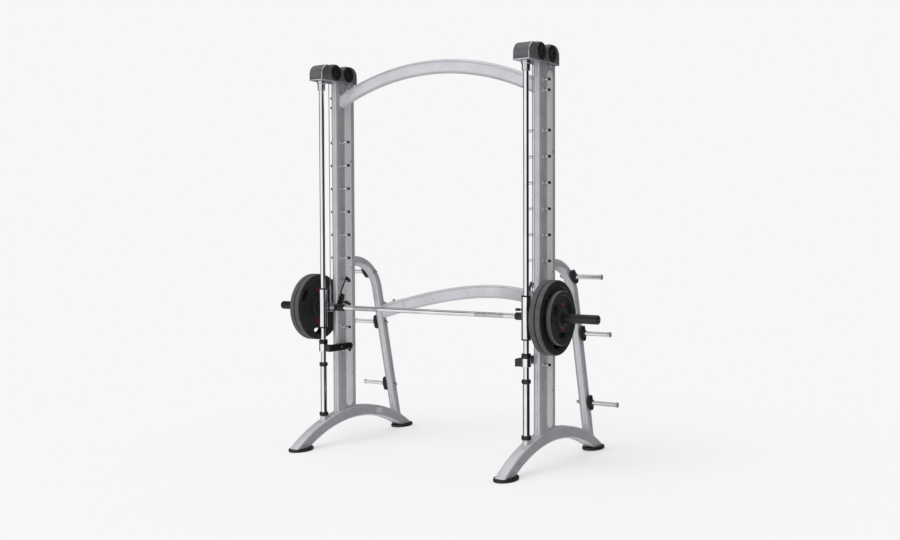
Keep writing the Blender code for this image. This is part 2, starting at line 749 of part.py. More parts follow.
def plate(name, side, spec):
    """Weight plate with a raised rim and hub and three grip holes."""
    _, radius, inner, outer, grip_ring, grip_long, grip_short = spec
    half = (outer - inner) / 2
    web = half * 0.55
    rim = radius * 0.88
    bore = SLEEVE_R + BORE_CLEARANCE
    half_profile = [(bore, half), (bore + 0.022, half), (bore + 0.027, web),
                    (rim - 0.008, web), (rim, half), (radius, half)]
    profile = half_profile + [(r, -h) for r, h in reversed(half_profile)]
    middle = side * (inner + outer) / 2
    at = (middle, at_y(BAR_Y), BAR_Z)
    disc = turned(name, profile, PLATE_IRON, at, "+X", steps=18, closed=True)
    for number, degrees in enumerate(GRIP_ANGLES):
        angle = math.radians(degrees)
        centre = Vector((grip_ring * math.cos(angle), grip_ring * math.sin(angle)))
        along = Vector((-math.sin(angle), math.cos(angle)))
        across = Vector((math.cos(angle), math.sin(angle)))
        ring = [centre + along * grip_long * math.cos(t) + across * grip_short * math.sin(t)
                for t in (math.radians(45 * step) for step in range(8))]
        hole = outline(f"{name}_grip_{number}", [tuple(p) for p in ring], 0.08, None, at,
                       group=CUTTERS)
        boolean(disc, hole)
    return disc


def stop_sleeve(name, side):
    """Safety stop's inner sleeve and the ring that catches the carriage."""
    bore = ROD_R + BORE_CLEARANCE
    low, high = STOP_Z
    profile = [(bore, high), (0.026, high), (0.026, STOP_RING_Z), (0.0195, STOP_RING_Z),
               (0.0195, low), (bore, low)]
    return turned(name, profile, BLACK, (side * FRAME_X, at_y(0), 0), closed=True)


def stop_arm(name, side):
    """Arm that turns on the stop sleeve and rests on a rack peg through its notch."""
    x = side * FRAME_X
    low, high = STOP_Z[0], STOP_ARM_TOP_Z
    at = (x, at_y(0), low)
    middle, half = (high - low) / 2, (high - low) / 2
    blade = [(-0.014, 0.0), (0.1465, 0.0), (0.1465, 0.0071), (0.180, 0.0071), (0.180, 0.0)]
    blade += [(0.181 + half * math.sin(a), middle - half * math.cos(a))
              for a in (math.radians(22.5 * step) for step in range(1, 9))]
    blade += [(-0.014, high - low)]
    arm = outline(name, blade, 0.012, BLACK, at)
    arm.location.x = x - side * 0.056
    lug = box(name + "_lug", (x - side * 0.018, at_y(-0.013), low + 0.0005),
              (x - side * 0.058, at_y(0.013), high - 0.0005))
    ring = rod(name + "_ring", (x, at_y(0), low), (x, at_y(0), STOP_RING_Z - GAP), 0.0255)
    boolean(arm, lug, "UNION")
    boolean(arm, ring, "UNION")
    bore = rod(name + "_bore", (x, at_y(0), low - 0.05), (x, at_y(0), high + 0.05), 0.0203)
    boolean(arm, bore)
    return arm


# Assembly ---------------------------------------------------------------------------

def build_side(label, side):
    """Every piece of one side of the machine."""
    arch_tool = arch_cutter(label + "_arch_tool", side)
    base_arch(label + "_base_arch", side)
    for place_name, depth in zip(("front", "rear"), FOOT_YS):
        foot(f"{label}_{place_name}_foot", side, depth)
    front_column(label + "_front_column", side, arch_tool)
    rear_column(label + "_rear_column", side, arch_tool)
    peg_rail(label + "_peg_rail", side)
    rear_leg(label + "_rear_leg", side, arch_tool)
    guide_rod(label + "_guide_rod", side)
    stop_tube(label + "_stop_tube", side)
    bumper(label + "_bumper", side)
    head_bracket(label + "_head_bracket", side)
    cap(label + "_cap", side)
    for place_name, depth in zip(("front", "rear"), PULLEY_YS):
        pulley(f"{label}_{place_name}_pulley", side, depth)
    cable(label + "_cable", side)
    counterweight(label + "_counterweight", side)
    leg_tool = sweep(label + "_leg_tool", leg_path(side * FRAME_X), None,
                     radius=LEG_R + GAP, solid=True, group=CUTTERS, resolution=3)
    for place_name, (depth, z) in zip(("upper", "middle", "lower"), HORN_YZ):
        storage_horn(f"{label}_{place_name}_horn", side, depth, z, leg_tool)
    carriage(label + "_carriage", side)
    sleeve(label + "_sleeve", side)
    hook(label + "_hook", side)
    hook_hub(label + "_hook_hub", side)
    for spec in PLATES:
        plate(f"{label}_{spec[0]}", side, spec)
    stop_sleeve(label + "_stop_sleeve", side)
    stop_arm(label + "_stop_arm", side)


for side_name, side_sign in SIDES:
    build_side(side_name, side_sign)
top_arch()
rear_crossmember()
bar()
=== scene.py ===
import math

import bmesh
import bpy
from mathutils import Matrix, Vector


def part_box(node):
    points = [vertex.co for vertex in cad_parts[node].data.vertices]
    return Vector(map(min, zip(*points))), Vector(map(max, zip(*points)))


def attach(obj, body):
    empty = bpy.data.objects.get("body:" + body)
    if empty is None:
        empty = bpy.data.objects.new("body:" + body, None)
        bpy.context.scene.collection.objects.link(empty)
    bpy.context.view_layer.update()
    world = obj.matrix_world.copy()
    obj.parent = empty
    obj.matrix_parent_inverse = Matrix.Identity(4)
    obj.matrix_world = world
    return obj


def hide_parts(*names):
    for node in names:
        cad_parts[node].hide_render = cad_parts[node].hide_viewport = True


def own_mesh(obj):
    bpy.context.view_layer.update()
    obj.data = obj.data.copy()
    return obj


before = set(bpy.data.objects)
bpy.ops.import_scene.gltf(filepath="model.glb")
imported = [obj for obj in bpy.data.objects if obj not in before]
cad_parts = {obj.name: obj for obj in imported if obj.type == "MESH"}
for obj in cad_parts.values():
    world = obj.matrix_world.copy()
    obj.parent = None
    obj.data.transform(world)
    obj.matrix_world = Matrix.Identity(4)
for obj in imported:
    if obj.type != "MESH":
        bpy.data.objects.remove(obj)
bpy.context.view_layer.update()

scene = bpy.context.scene
print("frame loaded:", len(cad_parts), "CAD nodes")


def middle(node):
    low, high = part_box(node)
    return (low + high) / 2


# the right-hand side is modelled and the left is its mirror image
frameX = middle("right_guide_rod").x
rodY = middle("right_guide_rod").y
barY, barZ = middle("bar").y, middle("bar").z


def depth(distance):
    # distances front to back are kept from the guide rods
    return rodY + distance


# Materials

def linear(hexColour):
    channels = [int(hexColour[i:i + 2], 16) / 255 for i in (1, 3, 5)]
    return tuple(c / 12.92 if c <= 0.04045 else ((c + 0.055) / 1.055) ** 2.4
                 for c in channels) + (1.0,)


def addNode(tree, kind, settings=None, links=None):
    node = tree.nodes.new(kind)
    for key, value in (settings or {}).items():
        if isinstance(key, int) or key in node.inputs:
            node.inputs[key].default_value = value
        else:
            setattr(node, key, value)
    for key, source in (links or {}).items():
        tree.links.new(source, node.inputs[key])
    return node


def makeMaterial(name, look):
    # two close tones in soft patches, roughness that drifts, and a fine grain in the bump
    material = bpy.data.materials.new(name)
    material.use_nodes = True
    tree = material.node_tree
    shader = tree.nodes["Principled BSDF"]
    shader.inputs["Metallic"].default_value = look.get("metallic", 0.0)
    for socket, value in look.get("sockets", {}).items():
        shader.inputs[socket].default_value = value
    place = addNode(tree, "ShaderNodeTexCoord").outputs["Object"]
    patches = addNode(tree, "ShaderNodeTexNoise",
                      {"Scale": 1000 / look["patchMm"], "Detail": 3.0, "Roughness": 0.6},
                      {"Vector": place})
    tones = addNode(tree, "ShaderNodeValToRGB", links={"Fac": patches.outputs["Fac"]})
    tones.color_ramp.elements[0].position = 0.32
    tones.color_ramp.elements[0].color = linear(look["dark"])
    tones.color_ramp.elements[1].position = 0.68
    tones.color_ramp.elements[1].color = linear(look["light"])
    tree.links.new(tones.outputs["Color"], shader.inputs["Base Color"])
    smudge = addNode(tree, "ShaderNodeTexNoise",
                     {"Scale": 1000 / look["smudgeMm"], "Detail": 4.0}, {"Vector": place})
    gloss = addNode(tree, "ShaderNodeMapRange",
                    {"From Min": 0.3, "From Max": 0.7, "To Min": look["rough"][0],
                     "To Max": look["rough"][1]}, {"Value": smudge.outputs["Fac"]})
    tree.links.new(gloss.outputs["Result"], shader.inputs["Roughness"])
    if look.get("grainMm"):
        grain = addNode(tree, "ShaderNodeTexNoise",
                        {"Scale": 1000 / look["grainMm"], "Detail": 2.0}, {"Vector": place})
        bump = addNode(tree, "ShaderNodeBump",
                       {"Strength": look["grainStrength"], "Distance": look["grainMm"] / 4000},
                       {"Height": grain.outputs["Fac"]})
        tree.links.new(bump.outputs["Normal"], shader.inputs["Normal"])
    return material


# steel tube in silver metallic powder coat: satin, with a faint orange peel. A real one has
# a 2 mm ripple; 14 mm is drawn so that it stays smooth from across the room
silverPowderCoat = makeMaterial("silverMetallicPowderCoat", {
    "dark": "#C3C4C9", "light": "#CFD0D5", "patchMm": 90, "metallic": 0.46,
    "rough": (0.27, 0.34), "smudgeMm": 45, "grainMm": 14.0, "grainStrength": 0.03})
# chromium plate over polished steel: mirror gloss with a few wiped smears
polishedChrome = makeMaterial("polishedChromePlate", {
    "dark": "#D2D3D6", "light": "#E2E3E5", "patchMm": 120, "metallic": 1.0,
    "rough": (0.035, 0.085), "smudgeMm": 30})
# turned fittings: a soft metal sheen
satinSteel = makeMaterial("satinTurnedSteel", {
    "dark": "#B4B5B9", "light": "#CFD0D4", "patchMm": 18, "metallic": 1.0,
    "rough": (0.20, 0.30), "smudgeMm": 9, "grainMm": 0.9, "grainStrength": 0.08})
# storage horns: chrome dulled by plates sliding over it
wornChrome = makeMaterial("wornSatinChrome", {
    "dark": "#CFD0D3", "light": "#DFE0E2", "patchMm": 25, "metallic": 0.72,
    "rough": (0.12, 0.22), "smudgeMm": 10})
# black powder coat on clamps, arms and sleeves: even, half gloss
blackPowderCoat = makeMaterial("blackPowderCoat", {
    "dark": "#0E0E0F", "light": "#171718", "patchMm": 40, "rough": (0.32, 0.44),
    "smudgeMm": 16, "grainMm": 1.2, "grainStrength": 0.18})
# moulded natural rubber: dull, with a slightly grey bloom
mouldedRubber = makeMaterial("mouldedBlackRubber", {
    "dark": "#161617", "light": "#232324", "patchMm": 22, "rough": (0.40, 0.55),
    "smudgeMm": 12, "grainMm": 1.0, "grainStrength": 0.25})
# injection-moulded ABS covers: dark grey with a spark-eroded texture
mouldedAbs = makeMaterial("darkGreyMouldedAbs", {
    "dark": "#525256", "light": "#5E5E62", "patchMm": 60, "rough": (0.38, 0.50),
    "smudgeMm": 20, "grainMm": 0.8, "grainStrength": 0.22, "sockets": {"IOR": 1.53}})
# painted highlight: pale ABS with a light sheen on the caps' rounded nose edges and foot lip,
# standing in for the light those edges catch
paleAbsEdgeHighlight = makeMaterial("paleAbsPaintedEdgeHighlight", {
    "dark": "#C2C3C6", "light": "#D2D3D6", "patchMm": 20, "metallic": 0.6,
    "rough": (0.22, 0.32), "smudgeMm": 12, "grainMm": 0.8, "grainStrength": 0.08,
    "sockets": {"IOR": 1.53}})
# brushed flats of the hooks: silvery, softer than the chrome
brushedSteel = makeMaterial("brushedNickelPlate", {
    "dark": "#C6C7CA", "light": "#D4D5D8", "patchMm": 12, "metallic": 0.12,
    "rough": (0.34, 0.44), "smudgeMm": 8, "grainMm": 0.9, "grainStrength": 0.10})
# glass-filled nylon: black, satin, used for discs, plugs and knobs
discPlastic = makeMaterial("blackGlassFilledNylon", {
    "dark": "#121213", "light": "#1B1B1C", "patchMm": 25, "rough": (0.36, 0.48),
    "smudgeMm": 14, "grainMm": 0.8, "grainStrength": 0.15, "sockets": {"IOR": 1.53}})
# extruded PVC strips: pale warm grey, satin, drawn lengthwise
extrudedPvc = makeMaterial("paleGreyExtrudedPvc", {
    "dark": "#CFD0CF", "light": "#D7D8D7", "patchMm": 70, "rough": (0.40, 0.52),
    "smudgeMm": 25, "grainMm": 1.5, "grainStrength": 0.05, "sockets": {"IOR": 1.53}})
# cast plates under a urethane skin: matte faces with a moulded pebble, the outer rims in a paler
# grey
urethaneSkin = makeMaterial("blackUrethaneSkin", {
    "dark": "#202021", "light": "#2A2A2B", "patchMm": 50, "rough": (0.40, 0.54),
    "smudgeMm": 18, "grainMm": 1.4, "grainStrength": 0.30, "sockets": {"IOR": 1.5}})
urethaneRim = makeMaterial("paleGreyUrethaneRim", {
    "dark": "#48494B", "light": "#545557", "patchMm": 40, "rough": (0.50, 0.62),
    "smudgeMm": 15, "grainMm": 1.4, "grainStrength": 0.25, "sockets": {"IOR": 1.5}})
# pad-printed ink: opaque red, slightly dull
markInk = makeMaterial("redPadPrintInk", {
    "dark": "#A81C22", "light": "#C0272D", "patchMm": 8, "rough": (0.40, 0.55),
    "smudgeMm": 4})
# anodised label film: pale and satin
labelFilm = makeMaterial("paleAluminiumLabelFilm", {
    "dark": "#D3D4D7", "light": "#DDDEE1", "patchMm": 15, "metallic": 0.3,
    "rough": (0.35, 0.45), "smudgeMm": 8})
# zinc plate: bright grey with cloudy patches
zincBolt = makeMaterial("zincPlatedBolt", {
    "dark": "#9A9B9E", "light": "#C2C3C6", "patchMm": 6, "metallic": 1.0,
    "rough": (0.22, 0.34), "smudgeMm": 5})
# black oxide on steel: dark with a low sheen
blackenedBolt = makeMaterial("blackOxideBolt", {
    "dark": "#1A1A1B", "light": "#2A2A2C", "patchMm": 5, "metallic": 0.8,
    "rough": (0.30, 0.42), "smudgeMm": 4})
# unpainted sand casting: dull and coarse
castIron = makeMaterial("bareCastIron", {
    "dark": "#3A3A3B", "light": "#4A4A4B", "patchMm": 12, "metallic": 0.9,
    "rough": (0.55, 0.7), "smudgeMm": 8, "grainMm": 1.5, "grainStrength": 0.5})


knurl = {"pitch": 0.003, "round": 29.0, "strength": 0.5, "deep": 0.0005}


def makeKnurledChrome():
    # diamond knurl: two sets of helical grooves cross at the bar's surface. A real one has a
    # 1.2 mm pitch; 3 mm is drawn so that it shows
    material = makeMaterial("knurledChromePlate", {
        "dark": "#BFC0C2", "light": "#D4D5D7", "patchMm": 30, "metallic": 1.0,
        "rough": (0.24, 0.34), "smudgeMm": 12})
    tree = material.node_tree
    shader = tree.nodes["Principled BSDF"]
    place = addNode(tree, "ShaderNodeTexCoord").outputs["Object"]
    centred = addNode(tree, "ShaderNodeMapping", {"Location": (0, -barY, -barZ)},
                      {"Vector": place})
    parts = addNode(tree, "ShaderNodeSeparateXYZ", links={"Vector": centred.outputs["Vector"]})
    turn = addNode(tree, "ShaderNodeMath", {"operation": "ARCTAN2"},
                   {0: parts.outputs["Y"], 1: parts.outputs["Z"]})
    wound = addNode(tree, "ShaderNodeMath", {"operation": "MULTIPLY", 1: knurl["round"]},
                    {0: turn.outputs[0]})
    along = addNode(tree, "ShaderNodeMath",
                    {"operation": "MULTIPLY", 1: 2 * math.pi / knurl["pitch"]},
                    {0: parts.outputs["X"]})
    ridges = []
    for sense in ("ADD", "SUBTRACT"):
        mixed = addNode(tree, "ShaderNodeMath", {"operation": sense},
                        {0: along.outputs[0], 1: wound.outputs[0]})
        wave = addNode(tree, "ShaderNodeMath", {"operation": "SINE"}, {0: mixed.outputs[0]})
        ridges.append(addNode(tree, "ShaderNodeMath", {"operation": "ABSOLUTE"},
                              {0: wave.outputs[0]}))
    diamonds = addNode(tree, "ShaderNodeMath", {"operation": "MINIMUM"},
                       {0: ridges[0].outputs[0], 1: ridges[1].outputs[0]})
    bump = addNode(tree, "ShaderNodeBump",
                   {"Strength": knurl["strength"], "Distance": knurl["deep"]},
                   {"Height": diamonds.outputs[0]})
    tree.links.new(bump.outputs["Normal"], shader.inputs["Normal"])
    return material


def makeWireRope():
    # galvanised strands under clear nylon: slanting bands, one strand every 4 mm
    material = makeMaterial("nylonCoatedWireRope", {
        "dark": "#8D8E90", "light": "#A3A4A6", "patchMm": 10, "metallic": 0.5,
        "rough": (0.25, 0.35), "smudgeMm": 8})
    tree = material.node_tree
    place = addNode(tree, "ShaderNodeTexCoord").outputs["Object"]
    slanted = addNode(tree, "ShaderNodeMapping", {"Rotation": (0.6, 0.0, 0.0)},
                      {"Vector": place})
    strands = addNode(tree, "ShaderNodeTexWave",
                      {"wave_type": "BANDS", "bands_direction": "Z", "Scale": 1000 / 4 / 6.28},
                      {"Vector": slanted.outputs["Vector"]})
    bump = addNode(tree, "ShaderNodeBump", {"Strength": 0.5, "Distance": 0.0004},
                   {"Height": strands.outputs["Fac"]})
    tree.links.new(bump.outputs["Normal"], tree.nodes["Principled BSDF"].inputs["Normal"])
    return material


knurledChrome = makeKnurledChrome()
wireRope = makeWireRope()
print("materials ready")


# Shapes

def roundEdges(bm, width, segments=2, angle=35):
    bm.normal_update()
    sharp = [e for e in bm.edges
             if len(e.link_faces) == 2 and e.calc_face_angle(0) > math.radians(angle)]
    bmesh.ops.bevel(bm, geom=sharp, offset=width, offset_type="OFFSET", segments=segments,
                    profile=0.5, affect="EDGES", material=-1)
    return bm


def everything(bm):
    return bm.verts[:] + bm.edges[:] + bm.faces[:]


def vertsIn(geom):
    return [g for g in geom if isinstance(g, bmesh.types.BMVert)]


def moved(bm, offset):
    bmesh.ops.translate(bm, vec=offset, verts=bm.verts)
    return bm


def scaled(bm, factors):
    bmesh.ops.scale(bm, vec=factors, verts=bm.verts)
    return bm


def placed(bm, matrix):
    bmesh.ops.transform(bm, matrix=matrix, verts=bm.verts)
    return bm


def mirrored(bm, axis="X"):
    scaled(bm, [-1 if axis == a else 1 for a in "XYZ"])
    bmesh.ops.reverse_faces(bm, faces=bm.faces)
    return bm


def outwards(bm):
    bmesh.ops.recalc_face_normals(bm, faces=bm.faces)
    return bm


def block(low, high, edge=0.001, segments=2):
    low, high = Vector(low), Vector(high)
    bm = bmesh.new()
    bmesh.ops.create_cube(bm, size=1, matrix=Matrix.Translation((low + high) / 2)
                          @ Matrix.Diagonal((*(high - low), 1)))
    return roundEdges(bm, edge, segments)


def pointed(axis, centre):
    # turns a shape made along Z to lie along another axis, at a centre
    turn = {"Z": Matrix.Identity(4), "X": Matrix.Rotation(math.pi / 2, 4, "Y"),
            "Y": Matrix.Rotation(-math.pi / 2, 4, "X")}[axis]
    return Matrix.Translation(centre) @ turn


def lathe(profile, centre, axis="Z", steps=48, closed=False):
    # (radius, height) points spun round the axis; heights start from the centre
    bm = bmesh.new()
    verts = [bm.verts.new((radius, 0, height)) for radius, height in profile]
    edges = [bm.edges.new(pair) for pair in zip(verts, verts[1:])]
    if closed:
        edges.append(bm.edges.new((verts[-1], verts[0])))
    bmesh.ops.spin(bm, geom=verts + edges, cent=(0, 0, 0), axis=(0, 0, 1), dvec=(0, 0, 0),
                   angle=2 * math.pi, steps=steps, use_merge=True, use_duplicate=False)
    bmesh.ops.remove_doubles(bm, verts=bm.verts, dist=0.000002)
    return placed(outwards(bm), pointed(axis, centre))


def onRod(profile, steps=64, closed=True):
    return lathe(profile, (frameX, rodY, 0), "Z", steps, closed)


def onBar(profile, steps, closed=False):
    return lathe(profile, (0, barY, barZ), "X", steps, closed)


def hexagon(radius, high, matrix=Matrix.Identity(4)):
    bm = bmesh.new()
    bmesh.ops.create_cone(bm, cap_ends=True, segments=6, radius1=radius, radius2=radius,
                          depth=high, matrix=matrix)
    return roundEdges(bm, 0.0006, 2)


def roundSection(radius, sides=32):
    bm = bmesh.new()
    bmesh.ops.create_circle(bm, segments=sides, radius=radius, cap_ends=True)
    return bm


def boxSection(halfWide, halfHigh, corner, steps=5):
    bm = bmesh.new()
    bmesh.ops.create_grid(bm, x_segments=1, y_segments=1, size=1)
    scaled(bm, (halfWide, halfHigh, 1))
    bmesh.ops.bevel(bm, geom=list(bm.verts), offset=corner, offset_type="OFFSET",
                    segments=steps, profile=0.5, affect="VERTICES", material=-1)
    bmesh.ops.remove_doubles(bm, verts=bm.verts, dist=0.00001)
    return bm


def stations(path, upward, closed):
    # a frame at each point: across, up and along
    points = [Vector(p) for p in path]
    count = len(points)
    result = []
    for i, here in enumerate(points):
        before = points[i - 1] if closed or i > 0 else here
        after = points[(i + 1) % count] if closed or i < count - 1 else here
        along = (after - before).normalized()
        up = (Vector(upward) - along * along.dot(Vector(upward))).normalized()
        across = up.cross(along)
        result.append(Matrix((across, up, along)).transposed().to_4x4())
        result[-1].translation = here
    return result


def sweep(path, section, upward=(0, 0, 1), closed=False):
    # carries the section's outline along the path by extruding its edge loop
    bm = section
    frames = stations(path, upward, closed)
    placed(bm, frames[0])
    first = list(bm.edges)
    if closed:
        bmesh.ops.delete(bm, geom=list(bm.faces), context="FACES_ONLY")
    edges = first
    for before, after in zip(frames, frames[1:]):
        grown = bmesh.ops.extrude_edge_only(bm, edges=edges)["geom"]
        verts = set(vertsIn(grown))
        edges = [g for g in grown if isinstance(g, bmesh.types.BMEdge)
                 and g.verts[0] in verts and g.verts[1] in verts]
        bmesh.ops.transform(bm, matrix=after @ before.inverted(), verts=list(verts))
    if closed:
        bmesh.ops.bridge_loops(bm, edges=edges + first)
    else:
        bmesh.ops.holes_fill(bm, edges=edges, sides=0)
    return outwards(bm)


def slab(outline, low, high):
    # an outline in the side view, given thickness along X
    bm = bmesh.new()
    face = bm.faces.new([bm.verts.new((low, y, z)) for y, z in outline])
    grown = bmesh.ops.extrude_face_region(bm, geom=[face])["geom"]
    bmesh.ops.translate(bm, vec=(high - low, 0, 0), verts=vertsIn(grown))
    return outwards(bm)


def joined(*shapes):
    # shapes are bmeshes, or pairs of a bmesh and its material's number
    whole = bmesh.new()
    for shape in shapes:
        bm, number = shape if isinstance(shape, tuple) else (shape, None)
        if number is not None:
            for face in bm.faces:
                face.material_index = number
        draft = bpy.data.meshes.new("draft")
        bm.to_mesh(draft)
        bm.free()
        whole.from_mesh(draft)
        bpy.data.meshes.remove(draft)
    return whole


def draftObject(bm):
    mesh = bpy.data.meshes.new("draft")
    bm.to_mesh(mesh)
    bm.free()
    draft = bpy.data.objects.new("draft", mesh)
    scene.collection.objects.link(draft)
    return draft


def carved(bm, cutters):
    body = draftObject(bm)
    tools = [draftObject(cutter) for cutter in cutters]
    for tool in tools:
        cut = body.modifiers.new("cut", "BOOLEAN")
        cut.operation, cut.solver, cut.object = "DIFFERENCE", "EXACT", tool
    graph = bpy.context.evaluated_depsgraph_get()
    result = bmesh.new()
    result.from_mesh(body.evaluated_get(graph).to_mesh())
    for draft in [body] + tools:
        bpy.data.objects.remove(draft)
    bmesh.ops.remove_doubles(result, verts=result.verts, dist=0.00001)
    return result


def addPiece(name, bm, materials, body, replaced=(), smooth=38):
    mesh = bpy.data.meshes.new(name)
    bm.to_mesh(mesh)
    bm.free()
    for material in materials if isinstance(materials, (list, tuple)) else [materials]:
        mesh.materials.append(material)
    mesh.shade_smooth()
    mesh.set_sharp_from_angle(angle=math.radians(smooth))
    piece = bpy.data.objects.new(name, mesh)
    scene.collection.objects.link(piece)
    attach(piece, body)
    if replaced:
        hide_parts(*replaced)
    return piece


def addPair(name, build, materials, body, replaced=(), smooth=38):
    # builds the right-hand piece and its mirror image; {} stands for the side's name
    made = []
    for side in ("right", "left"):
        bm = build()
        if side == "left":
            mirrored(bm)
        made.append(addPiece(f"{side}{name}", bm, materials, body.format(side),
                             [node.format(side) for node in replaced], smooth))
    return made


# Base arches and feet

arch = {"bendRadius": 0.93, "crestZ": 0.166, "middle": 0.285, "halfWide": 0.033,
        "halfHigh": 0.034, "corner": 0.013, "reach": 0.60, "steps": 56,
        "socketRadius": 0.0215, "socketTop": 0.178}
archBendZ = arch["crestZ"] - arch["bendRadius"]


def archTop(x, y):
    # height of the arch's upper surface under a point
    inset = max(0, abs(x - frameX) - (arch["halfWide"] - arch["corner"]))
    high = arch["halfHigh"] - arch["corner"] + math.sqrt(
        max(0, arch["corner"] ** 2 - min(inset, arch["corner"]) ** 2))
    return archBendZ + math.sqrt((arch["bendRadius"] + high) ** 2
                                 - (y - depth(arch["middle"])) ** 2)


def buildArch():
    swing = math.asin(arch["reach"] / arch["bendRadius"])
    angles = [swing * (2 * i / arch["steps"] - 1) for i in range(arch["steps"] + 1)]
    path = [(frameX, depth(arch["middle"]) + arch["bendRadius"] * math.sin(a),
             archBendZ + arch["bendRadius"] * math.cos(a)) for a in angles]
    bm = sweep(path, boxSection(arch["halfWide"], arch["halfHigh"], arch["corner"], 7))
    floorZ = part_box("right_front_foot")[1].z + 0.0004
    bmesh.ops.bisect_plane(bm, geom=everything(bm), plane_co=(0, 0, floorZ),
                           plane_no=(0, 0, 1), clear_inner=True)
    bmesh.ops.holes_fill(bm, edges=[e for e in bm.edges if e.is_boundary], sides=0)
    outwards(bm)
    socketFoot = arch["socketTop"] - 0.055
    r, top = arch["socketRadius"], arch["socketTop"]
    socket = lathe([(0, socketFoot), (r, socketFoot), (r, top - 0.0015), (r - 0.0015, top),
                    (0, top)], (frameX, rodY, 0))
    return joined(bm, socket)


addPair("BaseArch", buildArch, silverPowderCoat, "frame", ["{}_base_arch"])


def weldBead(outline, radius=0.0032):
    # a bead that follows the arch's top round the foot of whatever stands on it
    return sweep([(x, y, archTop(x, y) + 0.0004) for x, y in outline],
                 roundSection(radius, 10), closed=True)


def ovalOutline(centreY, halfWide, halfLong, steps=40):
    points = []
    straight = halfLong - halfWide
    for i in range(steps):
        angle = 2 * math.pi * (i + 0.5) / steps
        y = halfWide * math.sin(angle)
        points.append((frameX + halfWide * math.cos(angle),
                       centreY + y + math.copysign(straight, y)))
    return points


foot = {"halfWide": 0.058, "halfLong": 0.090, "collarWide": 0.072, "collarLong": 0.092}


def buildFoot(node):
    # an oval pad: a chamfered tread, a rounded rim and a shallow well round the tube
    centre = middle(node)
    bm = lathe([(0, 0), (0.93, 0), (0.965, 0.0012), (0.985, 0.004), (1.0, 0.0075),
                (0.998, 0.0125), (0.985, 0.0155), (0.962, 0.0175), (0.94, 0.018),
                (0.915, 0.0172), (0.90, 0.0150), (0.885, 0.0142), (0, 0.0142)],
               (0, 0, 0), steps=72)
    return moved(scaled(bm, (foot["halfWide"], foot["halfLong"], 1)), (centre.x, centre.y, 0))


for place in ("Front", "Rear"):
    node = f"{{}}_{place.lower()}_foot"
    addPair(f"{place}Foot", lambda: buildFoot(node.format("right")), mouldedRubber, "frame",
            [node])


def buildFootCollars():
    # the arch's tube ends stand in rubber collars moulded onto the pads
    shapes = []
    for node in ("right_front_foot", "right_rear_foot"):
        centre = middle(node)
        bm = lathe([(0.52, 0.0140), (0.60, 0.0140), (0.60, 0.0165), (0.575, 0.0180),
                    (0.52, 0.0180)], (0, 0, 0), steps=48, closed=True)
        scaled(bm, (foot["collarWide"], foot["collarLong"], 1))
        shapes.append(moved(bm, (centre.x, centre.y, 0)))
    return joined(*shapes)


addPair("FootCollars", buildFootCollars, mouldedRubber, "frame")


label = {"halfLong": 0.0275, "halfHigh": 0.0165, "tilt": -13, "y": depth(0.500)}


def buildLabel():
    # a blank foil label on the inner face of the base arch
    bm = block((frameX - arch["halfWide"] - 0.0006, -label["halfLong"], -label["halfHigh"]),
               (frameX - arch["halfWide"] + 0.0004, label["halfLong"], label["halfHigh"]),
               0.0002, 1)
    bmesh.ops.rotate(bm, cent=(0, 0, 0), verts=bm.verts,
                     matrix=Matrix.Rotation(math.radians(label["tilt"]), 3, "X"))
    y = label["y"]
    z = archBendZ + math.sqrt(arch["bendRadius"] ** 2 - (y - depth(arch["middle"])) ** 2)
    return moved(bm, (0, y, z + 0.002))


addPiece("leftArchLabel", mirrored(buildLabel()), labelFilm, "frame")
print("base arches and feet built")


# Columns

column = {"frontY": depth(0.153), "pegY": depth(0.156), "halfWide": 0.026,
          "halfLong": 0.047, "top": 2.180, "rearY": depth(0.263), "rearRadius": 0.026,
          "webHalf": 0.0235, "wall": 0.003}


def buildFrontColumn():
    bm = boxSection(column["halfWide"], column["halfLong"], column["halfWide"] - 0.0001, 9)
    for vert in bm.verts:
        spot = (frameX + vert.co.x, column["frontY"] + vert.co.y)
        vert.co = (*spot, archTop(*spot) - 0.004)
    grown = bmesh.ops.extrude_face_region(bm, geom=list(bm.faces))["geom"]
    for vert in vertsIn(grown):
        vert.co.z = column["top"]
    outwards(bm)
    bead = weldBead(ovalOutline(column["frontY"], column["halfWide"] + 0.001,
                                column["halfLong"] + 0.001))
    return joined(bm, bead)


addPair("FrontColumn", buildFrontColumn, silverPowderCoat, "frame", ["{}_front_column"])


def buildRearColumn():
    r, y = column["rearRadius"], column["rearY"]
    footZ = archTop(frameX, y) - 0.012
    tube = lathe([(r - column["wall"], footZ), (r, footZ), (r, column["top"]),
                  (r - column["wall"], column["top"])], (frameX, y, 0), closed=True)
    half = column["webHalf"]
    web = block((frameX - half, depth(0.192), footZ), (frameX + half, y - 0.022, 2.165),
                0.0008, 1)
    ring = [(frameX + (r + 0.001) * math.cos(a), y + (r + 0.001) * math.sin(a))
            for a in (2 * math.pi * i / 36 for i in range(36))]
    return joined(tube, web, weldBead(ring))


addPair("RearColumn", buildRearColumn, silverPowderCoat, "frame", ["{}_rear_column"])

strip = {"front": 0.1830, "back": 0.2445, "bottom": 0.212, "top": 2.150, "thick": 0.0020,
         "ribs": (-0.0165, 0.0010, 0.0185), "screws": (0.415, 1.063, 1.713), "screwY": 0.236}


